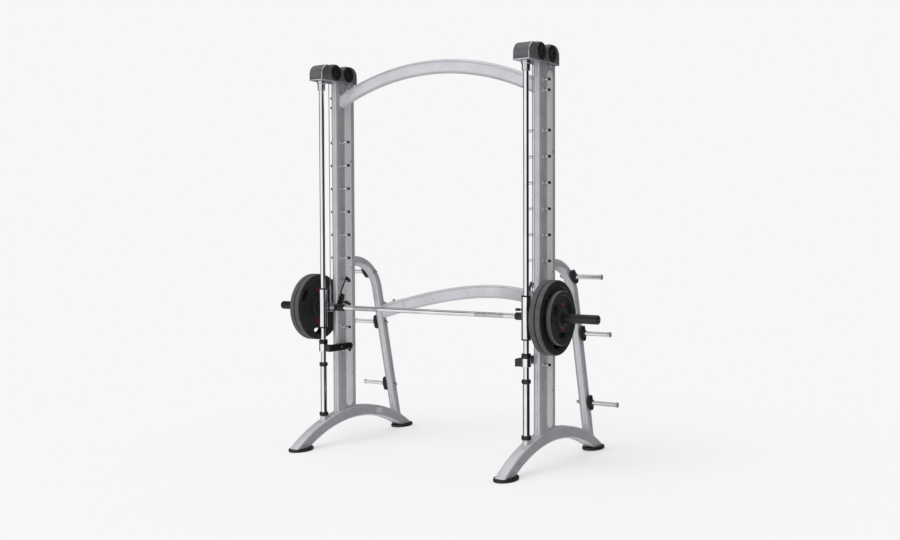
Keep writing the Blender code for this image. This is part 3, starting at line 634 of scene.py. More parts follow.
def buildStrips():
    # cover strips in the valley between the two columns, outside and inside
    half = (strip["back"] - strip["front"]) / 2
    centreY = depth(strip["front"]) + half
    shapes = []
    for side in (-1, 1):
        base = frameX + side * (column["webHalf"] + 0.0002)
        arc = [math.pi * i / 12 for i in range(13)]
        outline = [(centreY + half * math.cos(a), strip["top"] - half + half * math.sin(a))
                   for a in arc]
        outline += [(centreY - half * math.cos(a), strip["bottom"] + half - half * math.sin(a))
                    for a in arc]
        shapes.append(roundEdges(slab(outline, *sorted((base, base + side * strip["thick"]))),
                                 0.0006, 2))
        for rib in strip["ribs"]:
            # low ribs along the strip, as the extrusion die leaves them
            low = (base + side * (strip["thick"] - 0.0003), centreY + rib - 0.0022,
                   strip["bottom"] + half)
            high = (base + side * (strip["thick"] + 0.0008), centreY + rib + 0.0022,
                    strip["top"] - half)
            shapes.append(block([min(a, b) for a, b in zip(low, high)],
                                [max(a, b) for a, b in zip(low, high)], 0.0004, 1))
    return joined(*shapes)


addPair("CoverStrips", buildStrips, extrudedPvc, "frame")


def screwHead(x, y, z, radius, high, axis="X", sense=1, socket=0.5):
    # a button head with a hexagon socket
    rim = radius * 0.55
    bm = lathe([(0, 0), (radius, 0), (radius, high * 0.35), (radius * 0.86, high * 0.8),
                (rim, high), (radius * socket, high), (radius * socket, high * 0.35),
                (0, high * 0.35)], (0, 0, 0), axis, 18)
    if sense < 0:
        mirrored(bm, axis)
    return moved(bm, (x, y, z))


def buildStripScrews():
    reach = column["webHalf"] + strip["thick"]
    return joined(*[screwHead(frameX + side * reach, depth(strip["screwY"]), z, 0.0042,
                              0.0022, sense=side)
                    for z in strip["screws"] for side in (-1, 1)])


addPair("StripScrews", buildStripScrews, blackenedBolt, "frame")


# Rack pegs: chrome cross pins with black end plugs

pegs = {"radius": 0.008, "inner": 0.0815, "outer": 0.060, "count": 10, "pitch": 0.140,
        "plug": 0.0085}


def pegHeights():
    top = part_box("right_peg_rail")[1].z - 0.03
    return [top - pegs["pitch"] * i for i in range(pegs["count"])]


def buildPegs():
    shapes = []
    r = pegs["radius"]
    for z in pegHeights():
        shapes.append(lathe([(0, -pegs["inner"] + 0.004), (r, -pegs["inner"] + 0.004),
                             (r, pegs["outer"] - 0.004), (0, pegs["outer"] - 0.004)],
                            (frameX, column["pegY"], z), "X", 24))
        for side in (-1, 1):
            # a turned collar where the peg leaves the column
            base = side * column["halfWide"]
            shapes.append(lathe([(r, base - side * 0.001), (r + 0.0035, base - side * 0.001),
                                 (r + 0.0032, base + side * 0.0012),
                                 (r, base + side * 0.0028)],
                                (frameX, column["pegY"], z), "X", 24, closed=True))
    return joined(*shapes)


def buildPegPlugs():
    shapes = []
    r = pegs["plug"]
    for z in pegHeights():
        for side, end in ((-1, -pegs["inner"]), (1, pegs["outer"])):
            shapes.append(lathe([(0, end - side * 0.011), (r - 0.0008, end - side * 0.011),
                                 (r, end - side * 0.010), (r, end - side * 0.002),
                                 (r - 0.0018, end), (0, end)],
                                (frameX, column["pegY"], z), "X", 24))
    return joined(*shapes)


addPair("RackPegs", buildPegs, polishedChrome, "frame", ["{}_peg_rail"])
addPair("RackPegPlugs", buildPegPlugs, discPlastic, "frame")
print("columns, strips and pegs built")


# Rear legs

leg = {"radius": 0.031, "topZ": 1.1005, "cornerY": 0.484, "footYZ": (0.725, 0.055),
       "bend": 0.235, "steps": 28}


def legLine():
    corner = Vector((leg["cornerY"], leg["topZ"]))
    slope = (Vector(leg["footYZ"]) - corner).normalized()
    half = (math.pi - Vector((-1, 0)).angle(slope)) / 2
    first = corner + Vector((-1, 0)) * leg["bend"] * math.tan(half)
    centre = first + Vector((0, -leg["bend"]))
    points = [Vector((0.2745, leg["topZ"])), Vector((0.284, leg["topZ"])), first]
    for i in range(1, leg["steps"] + 1):
        angle = 2 * half * i / leg["steps"]
        points.append(centre + leg["bend"] * Vector((math.sin(angle), math.cos(angle))))
    points.append(Vector(leg["footYZ"]) + slope * -0.02)
    return [(frameX, depth(p[0]), p[1]) for p in points]


def buildLeg():
    bm = sweep(legLine(), roundSection(leg["radius"], 40), upward=(1, 0, 0))
    corner = Vector((0, depth(leg["cornerY"]), leg["topZ"]))
    footPoint = Vector((0, depth(leg["footYZ"][0]), leg["footYZ"][1]))
    slope = (footPoint - corner).normalized()
    # the bead follows the leg's outline where it lands on the arch
    outline = []
    for i in range(40):
        angle = 2 * math.pi * i / 40
        around = (Vector((1, 0, 0)) * math.cos(angle)
                  + slope.cross(Vector((1, 0, 0))) * math.sin(angle)) * (leg["radius"] + 0.001)
        spot = corner + around
        for _ in range(3):
            # slide down the leg until the arch's surface is reached
            drop = archTop(min(frameX + spot.x, frameX + 0.0325)
                           if spot.x > 0 else max(frameX + spot.x, frameX - 0.0325), spot.y)
            spot = spot + slope * ((drop - spot.z) / slope.z)
        outline.append((frameX + spot.x, spot.y))
    return joined(bm, weldBead(outline, 0.003))


addPair("RearLeg", buildLeg, silverPowderCoat, "frame", ["{}_rear_leg"])
print("rear legs built")


# Cross members

topBeam = {"halfWide": 0.020, "halfHigh": 0.040, "rise": 0.155, "crest": 2.2205,
           "y": depth(0.150), "steps": 64, "flange": 0.005}


def buildTopArch():
    half = frameX - column["halfWide"] + 0.002
    clear = frameX - column["halfWide"]
    bend = (clear ** 2 + topBeam["rise"] ** 2) / (2 * topBeam["rise"])
    xs = [half * (2 * i / topBeam["steps"] - 1) for i in range(topBeam["steps"] + 1)]
    path = [(x, topBeam["y"], topBeam["crest"] - bend + math.sqrt(bend ** 2 - x ** 2))
            for x in xs]
    beam = sweep(path, boxSection(topBeam["halfWide"], topBeam["halfHigh"],
                                  topBeam["halfWide"] - 0.0002, 8))
    shapes = [beam]
    endZ = topBeam["crest"] - bend + math.sqrt(bend ** 2 - clear ** 2)
    for side in (-1, 1):
        # a mounting flange against each column
        flange = boxSection(topBeam["halfWide"] + 0.004, topBeam["halfHigh"] + 0.010,
                            topBeam["halfWide"] + 0.0035, 7)
        grown = bmesh.ops.extrude_face_region(flange, geom=list(flange.faces))["geom"]
        bmesh.ops.translate(flange, vec=(0, 0, topBeam["flange"]), verts=vertsIn(grown))
        roundEdges(outwards(flange), 0.0015, 2)
        placed(flange, Matrix(((0, 0, 1, 0), (1, 0, 0, 0), (0, 1, 0, 0), (0, 0, 0, 1))))
        base = clear - topBeam["flange"] - 0.0004 if side > 0 else -clear + 0.0004
        shapes.append(moved(flange, (base, topBeam["y"], endZ)))
    return joined(*shapes)


addPiece("topArch", buildTopArch(), silverPowderCoat, "frame", ["top_arch"])

archBolts = {"zs": (2.095, 2.038), "y": depth(0.155), "stub": 0.0585}


def buildArchBolts():
    # through bolts that hold the top arch: chrome stubs outside with black end plugs
    shapes = []
    for z in archBolts["zs"]:
        base = column["halfWide"] - 0.001
        end = archBolts["stub"]
        shapes.append((lathe([(0, base), (0.0115, base), (0.0115, base + 0.003),
                              (0.0075, base + 0.004), (0.0075, end - 0.008),
                              (0, end - 0.008)],
                             (frameX, archBolts["y"], z), "X", 24), 0))
        shapes.append((lathe([(0, end - 0.010), (0.0072, end - 0.010), (0.008, end - 0.009),
                              (0.008, end - 0.0015), (0.0065, end), (0, end)],
                             (frameX, archBolts["y"], z), "X", 24), 1))
    return joined(*shapes)


addPair("TopArchBolts", buildArchBolts, [polishedChrome, discPlastic], "frame")

rearBeam = {"half": 0.672, "bow": 0.250, "lift": 0.131, "y": depth(0.556), "z": 0.774,
            "halfWide": 0.020, "halfHigh": 0.041, "steps": 64, "sleeveFrom": 0.565,
            "bowHalf": 0.67, "boltXs": (0.609, 0.655)}


def rearPoint(x):
    bow = 1 - (x / rearBeam["bowHalf"]) ** 2
    return Vector((x, rearBeam["y"] + rearBeam["bow"] * bow,
                   rearBeam["z"] + rearBeam["lift"] * bow))


def buildRearBeam():
    half = rearBeam["half"]
    path = [rearPoint(half * (2 * i / rearBeam["steps"] - 1))
            for i in range(rearBeam["steps"] + 1)]
    return sweep(path, boxSection(rearBeam["halfWide"], rearBeam["halfHigh"],
                                  rearBeam["halfWide"] - 0.0002, 8))


addPiece("rearCrossmember", buildRearBeam(), silverPowderCoat, "frame",
         ["rear_crossmember"])


def buildSocket():
    # the socket on each leg that the crossmember slides into
    reach = frameX - 0.022
    xs = [rearBeam["sleeveFrom"] + (reach - rearBeam["sleeveFrom"]) * i / 10
          for i in range(11)]
    sleeve = sweep([rearPoint(x) for x in xs],
                   boxSection(rearBeam["halfWide"] + 0.0026, rearBeam["halfHigh"] + 0.0026,
                              rearBeam["halfWide"] + 0.0020, 8))
    return roundEdges(sleeve, 0.0008, 2, 60)


addPair("CrossmemberSocket", buildSocket, silverPowderCoat, "frame")


def hexBolt(across, high, shank, length):
    # hexagon head on a washer, made along Z from the seat upwards
    top = hexagon(across / 2, high, Matrix.Translation((0, 0, 0.0015 + high / 2)))
    washer = lathe([(0, 0), (across * 0.62, 0), (across * 0.62, 0.0012),
                    (across * 0.58, 0.0016), (0, 0.0016)], (0, 0, 0), steps=28)
    stud = lathe([(0, high), (shank, high), (shank, length - 0.001), (shank - 0.001, length),
                  (0, length)], (0, 0, 0), steps=20)
    return joined(top, washer, stud)


def buildSocketBolts():
    shapes = []
    for x in rearBeam["boltXs"]:
        spot = rearPoint(x)
        before, after = rearPoint(x - 0.01), rearPoint(x + 0.01)
        along = (after - before).normalized()
        up = (Vector((0, 0, 1)) - along * along.z).normalized()
        turn = up.to_track_quat("Z", "Y").to_matrix().to_4x4()
        bolt = hexBolt(0.017, 0.007, 0.0045, 0.014)
        seat = spot + up * (rearBeam["halfHigh"] + 0.0022)
        shapes.append(placed(bolt, Matrix.Translation(seat) @ turn))
    return joined(*shapes)


addPair("SocketBolts", buildSocketBolts, zincBolt, "frame")
print("cross members built")


# Guide rods, stop tubes and bumpers

def buildRod():
    low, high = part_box("right_guide_rod")
    r = (high.x - low.x) / 2
    return onRod([(0, low.z), (r - 0.001, low.z), (r, low.z + 0.001), (r, high.z - 0.001),
                  (r - 0.001, high.z), (0, high.z)], closed=False)


addPair("GuideRod", buildRod, polishedChrome, "frame", ["{}_guide_rod"])

stopTube = {"radius": 0.0185, "bore": 0.0158, "top": 0.4755, "ringTop": 0.200,
            "ringFoot": 0.1785, "ringRadius": 0.027}


def buildStopTube():
    r, bore, top = stopTube["radius"], stopTube["bore"], stopTube["top"]
    low = stopTube["ringTop"] - 0.002
    return onRod([(bore, low), (r, low), (r, top - 0.0008), (r - 0.0008, top), (bore, top)])


def buildStopRing():
    # the black collar at the tube's foot, with a turned groove
    r, low, high = stopTube["ringRadius"], stopTube["ringFoot"], stopTube["ringTop"]
    bore = stopTube["bore"]
    groove = (low + high) / 2
    return onRod([(bore, low), (r - 0.002, low), (r, low + 0.002), (r, groove - 0.0020),
                  (r - 0.0014, groove - 0.0008), (r - 0.0014, groove + 0.0008),
                  (r, groove + 0.0020), (r, high - 0.003), (r - 0.003, high), (bore, high)])


def buildBumper():
    low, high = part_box("right_bumper")
    r, bore = (high.x - low.x) / 2, stopTube["bore"]
    a, b = low.z, high.z
    return onRod([(bore, a), (r - 0.0045, a), (r - 0.0015, a + 0.0015), (r, a + 0.005),
                  (r, b - 0.007), (r - 0.002, b - 0.0025), (r - 0.0055, b), (bore, b)])


addPair("StopTube", buildStopTube, polishedChrome, "frame", ["{}_stop_tube"])
addPair("StopTubeRing", buildStopRing, mouldedRubber, "frame")
addPair("Bumper", buildBumper, mouldedRubber, "frame", ["{}_bumper"])


# Heads: bracket, pulleys, cable and cap

head = {"plateZ": 2.1803, "plateThick": 0.006, "halfWide": 0.0455, "pulleyZ": 2.2225,
        "pulleyYs": (0.098, 0.233), "pitchRadius": 0.030, "collar": 0.0225,
        "collarFlange": 0.026, "collarFoot": 2.1253, "screw": (0.008, -0.0245, 2.172)}


def buildBracket():
    z, thick, half = head["plateZ"], head["plateThick"], head["halfWide"]
    plate = block((frameX - half, depth(-0.046), z), (frameX + half, depth(0.271), z + thick),
                  0.0012)
    shapes = [plate]
    for side in (-1, 1):
        xs = sorted((frameX + side * 0.011, frameX + side * 0.015))
        shapes.append(block((xs[0], depth(0.078), z + thick - 0.001),
                            (xs[1], depth(0.252), head["pulleyZ"] + 0.014), 0.0008))
    for y in head["pulleyYs"]:
        shapes.append(lathe([(0, -0.019), (0.0052, -0.019), (0.006, -0.018), (0.006, 0.018),
                             (0.0052, 0.019), (0, 0.019)],
                            (frameX, depth(y), head["pulleyZ"]), "X", 24))
    r, big, low = head["collar"], head["collarFlange"], head["collarFoot"]
    bore = stopTube["bore"]
    shapes.append(onRod([(bore, low), (r - 0.0012, low), (r, low + 0.0012), (r, 2.1585),
                         (r + 0.0012, 2.161), (big - 0.001, 2.1635), (big, 2.165),
                         (big, z - 0.001), (big - 0.001, z), (bore, z)]))
    return joined(*shapes)


addPair("HeadBracket", buildBracket, satinSteel, "frame", ["{}_head_bracket"])


def buildCollarScrew():
    x, y, z = head["screw"]
    return screwHead(frameX + x, rodY + y, z, 0.0032, 0.0025, "Y", -1)


addPair("CollarScrew", buildCollarScrew, blackenedBolt, "frame")


def buildPulley(y):
    pitch = head["pitchRadius"]
    rim, groove, half = pitch + 0.0055, pitch - 0.0035, 0.0065
    profile = [(0.0068, half), (0.013, half), (0.0145, half - 0.002),
               (rim - 0.008, half - 0.002), (rim - 0.006, half), (rim - 0.0006, half),
               (rim, half - 0.0006), (rim, 0.0044),
               (groove + 0.0012, 0.0026), (groove, 0)]
    profile += [(r, -h) for r, h in reversed(profile[:-1])]
    return lathe(profile, (frameX, depth(y), head["pulleyZ"]), "X", 48, closed=True)


for place, y in zip(("front", "rear"), head["pulleyYs"]):
    addPair(f"{place.capitalize()}Pulley", lambda: buildPulley(y), discPlastic,
            f"{{}}_{place}_pulley", [f"{{}}_{place}_pulley"])

cable = {"radius": 0.0025, "foot": 0.9653, "weightTop": 2.0003}
cableY = head["pulleyYs"][0] - head["pitchRadius"]


def buildCableRun():
    count = 24
    zs = [cable["foot"] + (head["pulleyZ"] - cable["foot"]) * i / count
          for i in range(count + 1)]
    return sweep([(frameX, depth(cableY), z) for z in zs], roundSection(cable["radius"], 12),
                 upward=(1, 0, 0))


def buildCableTurn():
    (first, second), z, r = head["pulleyYs"], head["pulleyZ"], head["pitchRadius"]
    quarter = [math.radians(7.5 * i) for i in range(13)]
    points = [(first - r * math.cos(a), z + r * math.sin(a)) for a in quarter]
    points += [(second + r * math.sin(a), z + r * math.cos(a)) for a in quarter]
    points += [(second + r, cable["weightTop"])]
    return sweep([(frameX, depth(y), h) for y, h in points],
                 roundSection(cable["radius"], 12), upward=(1, 0, 0))


runs = addPair("CableRun", buildCableRun, wireRope, "frame", ["{}_cable"])
addPair("CableTurn", buildCableTurn, wireRope, "frame")
for run in runs:
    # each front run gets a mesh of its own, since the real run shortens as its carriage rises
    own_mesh(run)

cap = {"half": 0.050, "foot": 2.180, "top": 2.283, "edge": 0.007, "wall": 0.0032,
       "discYs": (0.0745, 0.1905), "discZ": 2.2335, "discRadius": 0.0460,
       "bezel": 0.0484, "boltX": 0.032, "saddle": 0.020, "saddleHalf": 0.044,
       "saddleY": 0.1325}


def capOutline():
    # side view: round nose over the rod, two lobes, round back
    points = [(0.278, cap["foot"]), (0.278, 2.222)]
    points += [(0.222 + 0.056 * math.cos(a), 2.229 + 0.054 * math.sin(a))
               for a in (math.radians(8 * i) for i in range(1, 12))]
    span = cap["saddleHalf"]
    for i in range(17):
        y = cap["saddleY"] + span - 2 * span * i / 16
        dip = cap["saddle"] * (0.5 + 0.5 * math.cos(math.pi * (y - cap["saddleY"]) / span))
        points.append((y, cap["top"] - dip))
    points += [(0.055, cap["top"])]
    points += [(0.007 - 0.060 * math.sin(a), 2.218 + 0.0585 * math.cos(a))
               for a in (math.radians(-24 + 8 * i) for i in range(1, 15))]
    points += [(-0.053, cap["foot"])]
    return [(depth(y), z) for y, z in points]


def buildCap():
    bm = slab(capOutline(), frameX - cap["half"], frameX + cap["half"])
    bm.normal_update()
    rims = [e for e in bm.edges if len(e.link_faces) == 2 and any(
        abs(f.normal.x) > 0.9 for f in e.link_faces) and e.verts[0].co.z + e.verts[1].co.z
        > 2 * cap["foot"] + 0.0001]
    bmesh.ops.bevel(bm, geom=rims, offset=cap["edge"], offset_type="OFFSET", segments=4,
                    profile=0.5, affect="EDGES", material=-1)
    bm.normal_update()
    for face in bm.faces:
        # painted highlight: the rounded edge of the nose is coloured in the paler plastic,
        # standing in for the light that it catches
        nose = face.calc_center_median().y < depth(0.060)
        face.material_index = int(nose and 0.25 < abs(face.normal.x) < 0.97)
    under = [f for f in bm.faces if f.normal.z < -0.9 and f.calc_center_median().z
             < cap["foot"] + 0.0005]
    bmesh.ops.delete(bm, geom=under, context="FACES")
    return bm


for piece in addPair("Cap", buildCap, [mouldedAbs, paleAbsEdgeHighlight], "frame", ["{}_cap"],
                     smooth=30):
    wall = piece.modifiers.new("wall", "SOLIDIFY")
    wall.thickness, wall.offset, wall.use_even_offset = cap["wall"], -1, True


def buildCapRim():
    # a small lip round the cap's open foot, coloured in the paler plastic as a painted highlight
    # along the foot's edge
    half, front, back = cap["half"], depth(-0.053), depth(0.278)
    corner, steps = 0.006, 5
    path = []
    for cx, cy, first in ((frameX + half, back, 0), (frameX - half, back, 90),
                          (frameX - half, front, 180), (frameX + half, front, 270)):
        sx, sy = (-1 if cx > frameX else 1), (-1 if cy > front + 0.1 else 1)
        for i in range(steps + 1):
            a = math.radians(first + 90 * i / steps)
            path.append((cx + sx * corner + corner * math.cos(a),
                         cy + sy * corner + corner * math.sin(a), cap["foot"] + 0.0030))
    return sweep(path, boxSection(0.0014, 0.0028, 0.0009, 2), closed=True)


addPair("CapRim", buildCapRim, paleAbsEdgeHighlight, "frame")


# two discs on each face of the cap
discSpots = [(depth(y), side) for y in cap["discYs"] for side in (-1, 1)]


def buildCapDiscs():
    r = cap["discRadius"]
    shapes = []
    for y, side in discSpots:
        base, proud = side * (cap["half"] - 0.004), side * (cap["half"] + 0.0068)
        shapes.append(lathe([(0, base), (r, base), (r, proud - side * 0.0030),
                             (r - 0.0010, proud - side * 0.0010), (r - 0.0032, proud),
                             (0.030, proud + side * 0.0009), (0.010, proud + side * 0.0011),
                             (0.0085, proud + side * 0.0002), (0.0070, proud - side * 0.0008),
                             (0, proud - side * 0.0008)], (frameX, y, cap["discZ"]), "X", 64))
    return joined(*shapes)


def buildCapBezels():
    inner, outer = cap["discRadius"] + 0.0004, cap["bezel"]
    shapes = []
    for y, side in discSpots:
        base, proud = side * (cap["half"] - 0.004), side * (cap["half"] + 0.0030)
        shapes.append(lathe([(inner, base), (outer, base), (outer, proud - side * 0.0014),
                             (outer - 0.0006, proud - side * 0.0003), (outer - 0.0014, proud),
                             (inner, proud - side * 0.0004)],
                            (frameX, y, cap["discZ"]), "X", 64, closed=True))
    return joined(*shapes)


addPair("CapDiscs", buildCapDiscs, discPlastic, "frame")
addPair("CapBezels", buildCapBezels, mouldedAbs, "frame")


def buildCapBolts():
    shapes = [screwHead(frameX + side * cap["boltX"], depth(cap["saddleY"]),
                        cap["top"] - cap["saddle"] - 0.0006, 0.0085, 0.0095, "Z")
              for side in (-1, 1)]
    for y, side in discSpots:
        shapes.append(screwHead(frameX + side * (cap["half"] + 0.0058), y, cap["discZ"],
                                0.0055, 0.0028, "X", side))
    return joined(*shapes)


addPair("CapBolts", buildCapBolts, blackenedBolt, "frame")
print("rods, heads and caps built")


# Storage horns

horn = {"radius": 0.0125, "tip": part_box("right_upper_horn")[1].x, "flange": 0.0155,
        "discRadius": 0.045, "discThick": 0.020}


def hornCentres():
    centres = []
    for place in ("upper", "middle", "lower"):
        centre = middle(f"right_{place}_horn")
        centres.append((place, centre.y, centre.z))
    return centres


def legDirection(z):
    # the leg's slope in the side view, for a saddle that follows it
    line = legLine()
    best = min(range(1, len(line) - 1), key=lambda i: abs(line[i][2] - z)
               if line[i][1] > depth(0.40) else 9)
    a, b = Vector(line[best - 1]), Vector(line[best + 1])
    return (b - a).normalized()


def buildHornTube(y, z):
    r, tip, big = horn["radius"], horn["tip"], horn["flange"]
    start = frameX + leg["radius"] + 0.006
    return lathe([(0, start), (r, start), (r, tip - 0.0105), (r + 0.0006, tip - 0.0085),
                  (big - 0.0006, tip - 0.0078), (big, tip - 0.0070), (big, tip - 0.0010),
                  (big - 0.0010, tip), (0.006, tip), (0.0045, tip - 0.0012), (0, tip - 0.0012)],
                 (0, y, z), "X", 40)


def buildHornNut(y, z):
    # acorn nut and washer on the leg's inner side
    inner = frameX - leg["radius"]
    nut = placed(hexagon(0.0105, 0.008), pointed("X", (inner - 0.0062, y, z)))
    dome = lathe([(0.0085, inner - 0.0098), (0.0082, inner - 0.0125), (0.0066, inner - 0.0160),
                  (0.0038, inner - 0.0182), (0, inner - 0.0190), (0, inner - 0.0098)],
                 (0, y, z), "X", 28)
    washer = lathe([(0, inner - 0.0024), (0.0135, inner - 0.0024), (0.0138, inner - 0.0012),
                    (0.0138, inner + 0.003), (0, inner + 0.003)], (0, y, z), "X", 32)
    return joined(nut, dome, washer)


def buildSaddle(y, z):
    # a rubber disc bent round the leg: flat rings are rolled onto the tube's outside
    r, thick = horn["discRadius"], horn["discThick"]
    profile = [(0, 0), (0.4 * r, 0), (0.8 * r, 0), (r - 0.003, 0), (r, 0.003), (r, thick - 0.004),
               (r - 0.0015, thick - 0.0012), (r - 0.005, thick), (0.8 * r, thick),
               (0.5 * r, thick), (0.45 * r, thick + 0.002), (0.42 * r, thick + 0.006),
               (0.38 * r, thick + 0.007), (0.2 * r, thick + 0.007), (0, thick + 0.007)]
    disc = lathe(profile, (0, 0, 0), steps=64)
    along = legDirection(z)
    outward = Vector((1, 0, 0))
    across = outward.cross(along)
    radius = leg["radius"] + 0.0006
    bend = radius + thick
    for vert in disc.verts:
        s, t, n = vert.co.x, vert.co.y, vert.co.z
        angle = t / bend * 0.85
        reach = radius + n
        spot = (outward * math.cos(angle) + across * math.sin(angle)) * reach + along * s
        vert.co = Vector((frameX, y, z)) + spot
    return outwards(disc)


def buildHorn(y, z):
    return joined((buildHornTube(y, z), 0), (buildHornNut(y, z), 1), (buildSaddle(y, z), 2))


for place, y, z in hornCentres():
    addPair(f"{place.capitalize()}Horn", lambda: buildHorn(y, z),
            [wornChrome, zincBolt, mouldedRubber], "frame", [f"{{}}_{place}_horn"])
print("storage horns built")


# Carriages

carriage = {"radius": 0.026, "low": 0.707, "high": 0.945, "seal": 0.007, "bore": 0.0162}


def buildCarriageTube():
    r, low, high, seal = (carriage[k] for k in ("radius", "low", "high", "seal"))
    bore = carriage["bore"]
    low, high = low + seal, high - seal
    return onRod([(bore, low), (r - 0.0014, low), (r - 0.0004, low + 0.001),
                  (r - 0.0004, high - 0.001), (r - 0.0014, high), (bore, high)], 72)


def buildCarriageSeals():
    r, low, high, seal = (carriage[k] for k in ("radius", "low", "high", "seal"))
    bore = carriage["bore"]
    shapes = []
    for base, end in ((low + seal, low), (high - seal, high)):
        step = math.copysign(1, end - base)
        shapes.append(lathe([(bore, base), (r, base), (r, end - step * 0.0025),
                             (r - 0.0022, end), (bore + 0.0015, end), (bore, end - step * 0.001)],
                            (frameX, rodY, 0), "Z", 64, True))
    return joined(*shapes)


def buildBearingBlock():
    # bright block that carries the bar's bearing, reaching back from the carriage
    body = block((frameX - 0.017, depth(0.019), 0.801), (frameX + 0.017, depth(0.070), 0.853),
                 0.004, 3)
    eye = lathe([(0.0150, -0.019), (0.0240, -0.019), (0.0258, -0.0172), (0.0258, 0.0172),
                 (0.0240, 0.019), (0.0150, 0.019)], (frameX, barY, barZ), "X", 56, closed=True)
    lip = lathe([(0.0150, -0.0200), (0.0185, -0.0200), (0.0190, -0.0192), (0.0190, 0.0192),
                 (0.0185, 0.0200), (0.0150, 0.0200)], (frameX, barY, barZ), "X", 48,
                closed=True)
    return joined(body, eye, lip)


def buildCarriageGussets():
    # black ribs above and below the bearing block tie it to the tube
    above = [(depth(0.0225), 0.852), (depth(0.050), 0.852), (depth(0.046), 0.874),
             (depth(0.034), 0.905), (depth(0.0225), 0.930)]
    below = [(depth(0.0225), 0.802), (depth(0.064), 0.802), (depth(0.058), 0.786),
             (depth(0.040), 0.752), (depth(0.0225), 0.722)]
    return joined(*[roundEdges(slab(outline, frameX - 0.006, frameX + 0.006), 0.0018, 2)
                    for outline in (above, below)])


def buildFerrule():
    # swaged cable end with its lock nut
    y = depth(cableY)
    stem = lathe([(0, 0.846), (0.0062, 0.846), (0.0062, 0.868), (0.0075, 0.870),
                  (0.0085, 0.873), (0.0085, 0.925), (0.0078, 0.930), (0.0055, 0.948),
                  (0.0048, 0.9640), (0.0040, 0.9652), (0, 0.9652)], (frameX, y, 0), steps=32)
    return joined(stem, hexagon(0.0105, 0.009, Matrix.Translation((frameX, y, 0.8595))))


addPair("CarriageTube", buildCarriageTube, polishedChrome, "carriage", ["{}_carriage"])
addPair("CarriageSeals", buildCarriageSeals, blackPowderCoat, "carriage")
addPair("BearingBlock", buildBearingBlock, satinSteel, "carriage")
addPair("CarriageGussets", buildCarriageGussets, blackPowderCoat, "carriage")
addPair("CableFerrule", buildFerrule, satinSteel, "carriage")


# Barbell

bar = {"radius": 0.014, "half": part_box("bar")[1].x, "knurl": (0.338, 0.522)}


def buildBar():
    r, half = bar["radius"], bar["half"]
    a, b = bar["knurl"]
    stops = [-half, -b, -a, a, b, half]
    shapes = []
    for number, (low, high) in enumerate(zip(stops, stops[1:])):
        knurled = number in (1, 3)
        edge = r + (0.0002 if knurled else 0)
        inset = 0.0004 if knurled else 0
        shapes.append((onBar([(0, low + inset), (edge - 0.0004, low + inset),
                              (edge, low + inset + 0.0004), (edge, high - inset - 0.0004),
                              (edge - 0.0004, high - inset), (0, high - inset)], 56),
                       1 if knurled else 0))
    return joined(*shapes)


addPiece("bar", buildBar(), [polishedChrome, knurledChrome], "barbell", ["bar"])

sleeve = {"radius": 0.0245, "bore": 0.0148, "tip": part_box("right_sleeve")[1].x,
          "shoulder": 0.036}


def buildSleeve():
    r, tip, bore, big = (sleeve[k] for k in ("radius", "tip", "bore", "shoulder"))
    return onBar([(0, tip - 0.0015), (0.0085, tip - 0.0015), (0.0095, tip), (r - 0.0090, tip),
                  (r - 0.0042, tip - 0.0012), (r - 0.0012, tip - 0.0042), (r, tip - 0.0090),
                  (r, 0.7895), (big - 0.0010, 0.7895), (big, 0.7885), (big, 0.7812),
                  (big - 0.0015, 0.7788), (0.0250, 0.7735), (0.0225, 0.7715), (0.0222, 0.7475),
                  (0.0210, 0.7460), (bore, 0.7460), (bore, bar["half"] + 0.0008),
                  (0, bar["half"] + 0.0008)], 64)


def buildSleeveBolt():
    return screwHead(sleeve["tip"] - 0.0018, barY, barZ, 0.0068, 0.0017, "X", 1, 0.45)


addPair("Sleeve", buildSleeve, blackPowderCoat, "{}_sleeve", ["{}_sleeve"])
addPair("SleeveBolt", buildSleeveBolt, zincBolt, "{}_sleeve")

# hooks lean from the bar towards the peg that they rest on
hook = {"x": frameX - 0.056, "half": 0.0060, "front": 0.0172, "back": 0.0092,
        "crown": 0.0140, "clear": 0.0006, "plated": (0.089, 0.176)}
restPeg = min(pegHeights(), key=lambda z: abs(z - barZ - 0.157))
toPeg = Vector((column["pegY"] - barY, restPeg - barZ))
lean = toPeg.normalized()


def leaned(points):
    forward = Vector((-lean.y, lean.x))
    spots = [lean * out + forward * ahead for out, ahead in points]
    return [(barY + s.x, barZ + s.y) for s in spots]


def hookArc(radius, start, end, steps):
    angles = [start + (end - start) * i / steps for i in range(steps + 1)]
    return [(radius * math.cos(a), radius * math.sin(a)) for a in angles]


def buildHook():
    seat = toPeg.length + pegs["radius"] + hook["clear"]
    crown = seat + hook["crown"]
    front, back = hook["front"], hook["back"]
    tip = -math.radians(4.8)
    # the nose is rounded off between its outer and inner arcs
    nose = [((crown + seat) / 2 + 0.0070 * math.cos(a), (crown + seat) / 2 * math.sin(tip)
             - 0.0035 * abs(math.sin(a))) for a in (math.radians(30 * i) for i in range(1, 6))]
    points = [(0.030, front), (0.060, front)]
    points += hookArc(crown, math.asin(front / crown), tip, 12)
    points += nose
    points += hookArc(seat, tip, math.asin(back / seat), 12)
    points += [(0.168, back), (0.160, back - 0.0020), (0.152, 0.0010), (0.146, -0.0060),
               (0.0885, -0.0130), (0.0885, back), (0.030, back)]
    bm = slab(leaned(points)[::-1], hook["x"] - hook["half"], hook["x"] + hook["half"])
    roundEdges(bm, 0.0011, 2, 50)
    # the flats are plated between two heights; edges, foot and curled nose are blackened
    up = Vector((0, lean.x, lean.y))
    root = Vector((hook["x"], barY, barZ))
    for out in hook["plated"]:
        bmesh.ops.bisect_plane(bm, geom=everything(bm), plane_co=root + up * out, plane_no=up)
    bm.normal_update()
    low, high = hook["plated"]
    for face in bm.faces:
        out = (face.calc_center_median() - root).dot(up)
        face.material_index = int(not low < out < high or abs(face.normal.x) < 0.6)
    return bm


addPair("Hook", buildHook, [brushedSteel, blackPowderCoat], "barbell", ["{}_hook"],
        smooth=30)

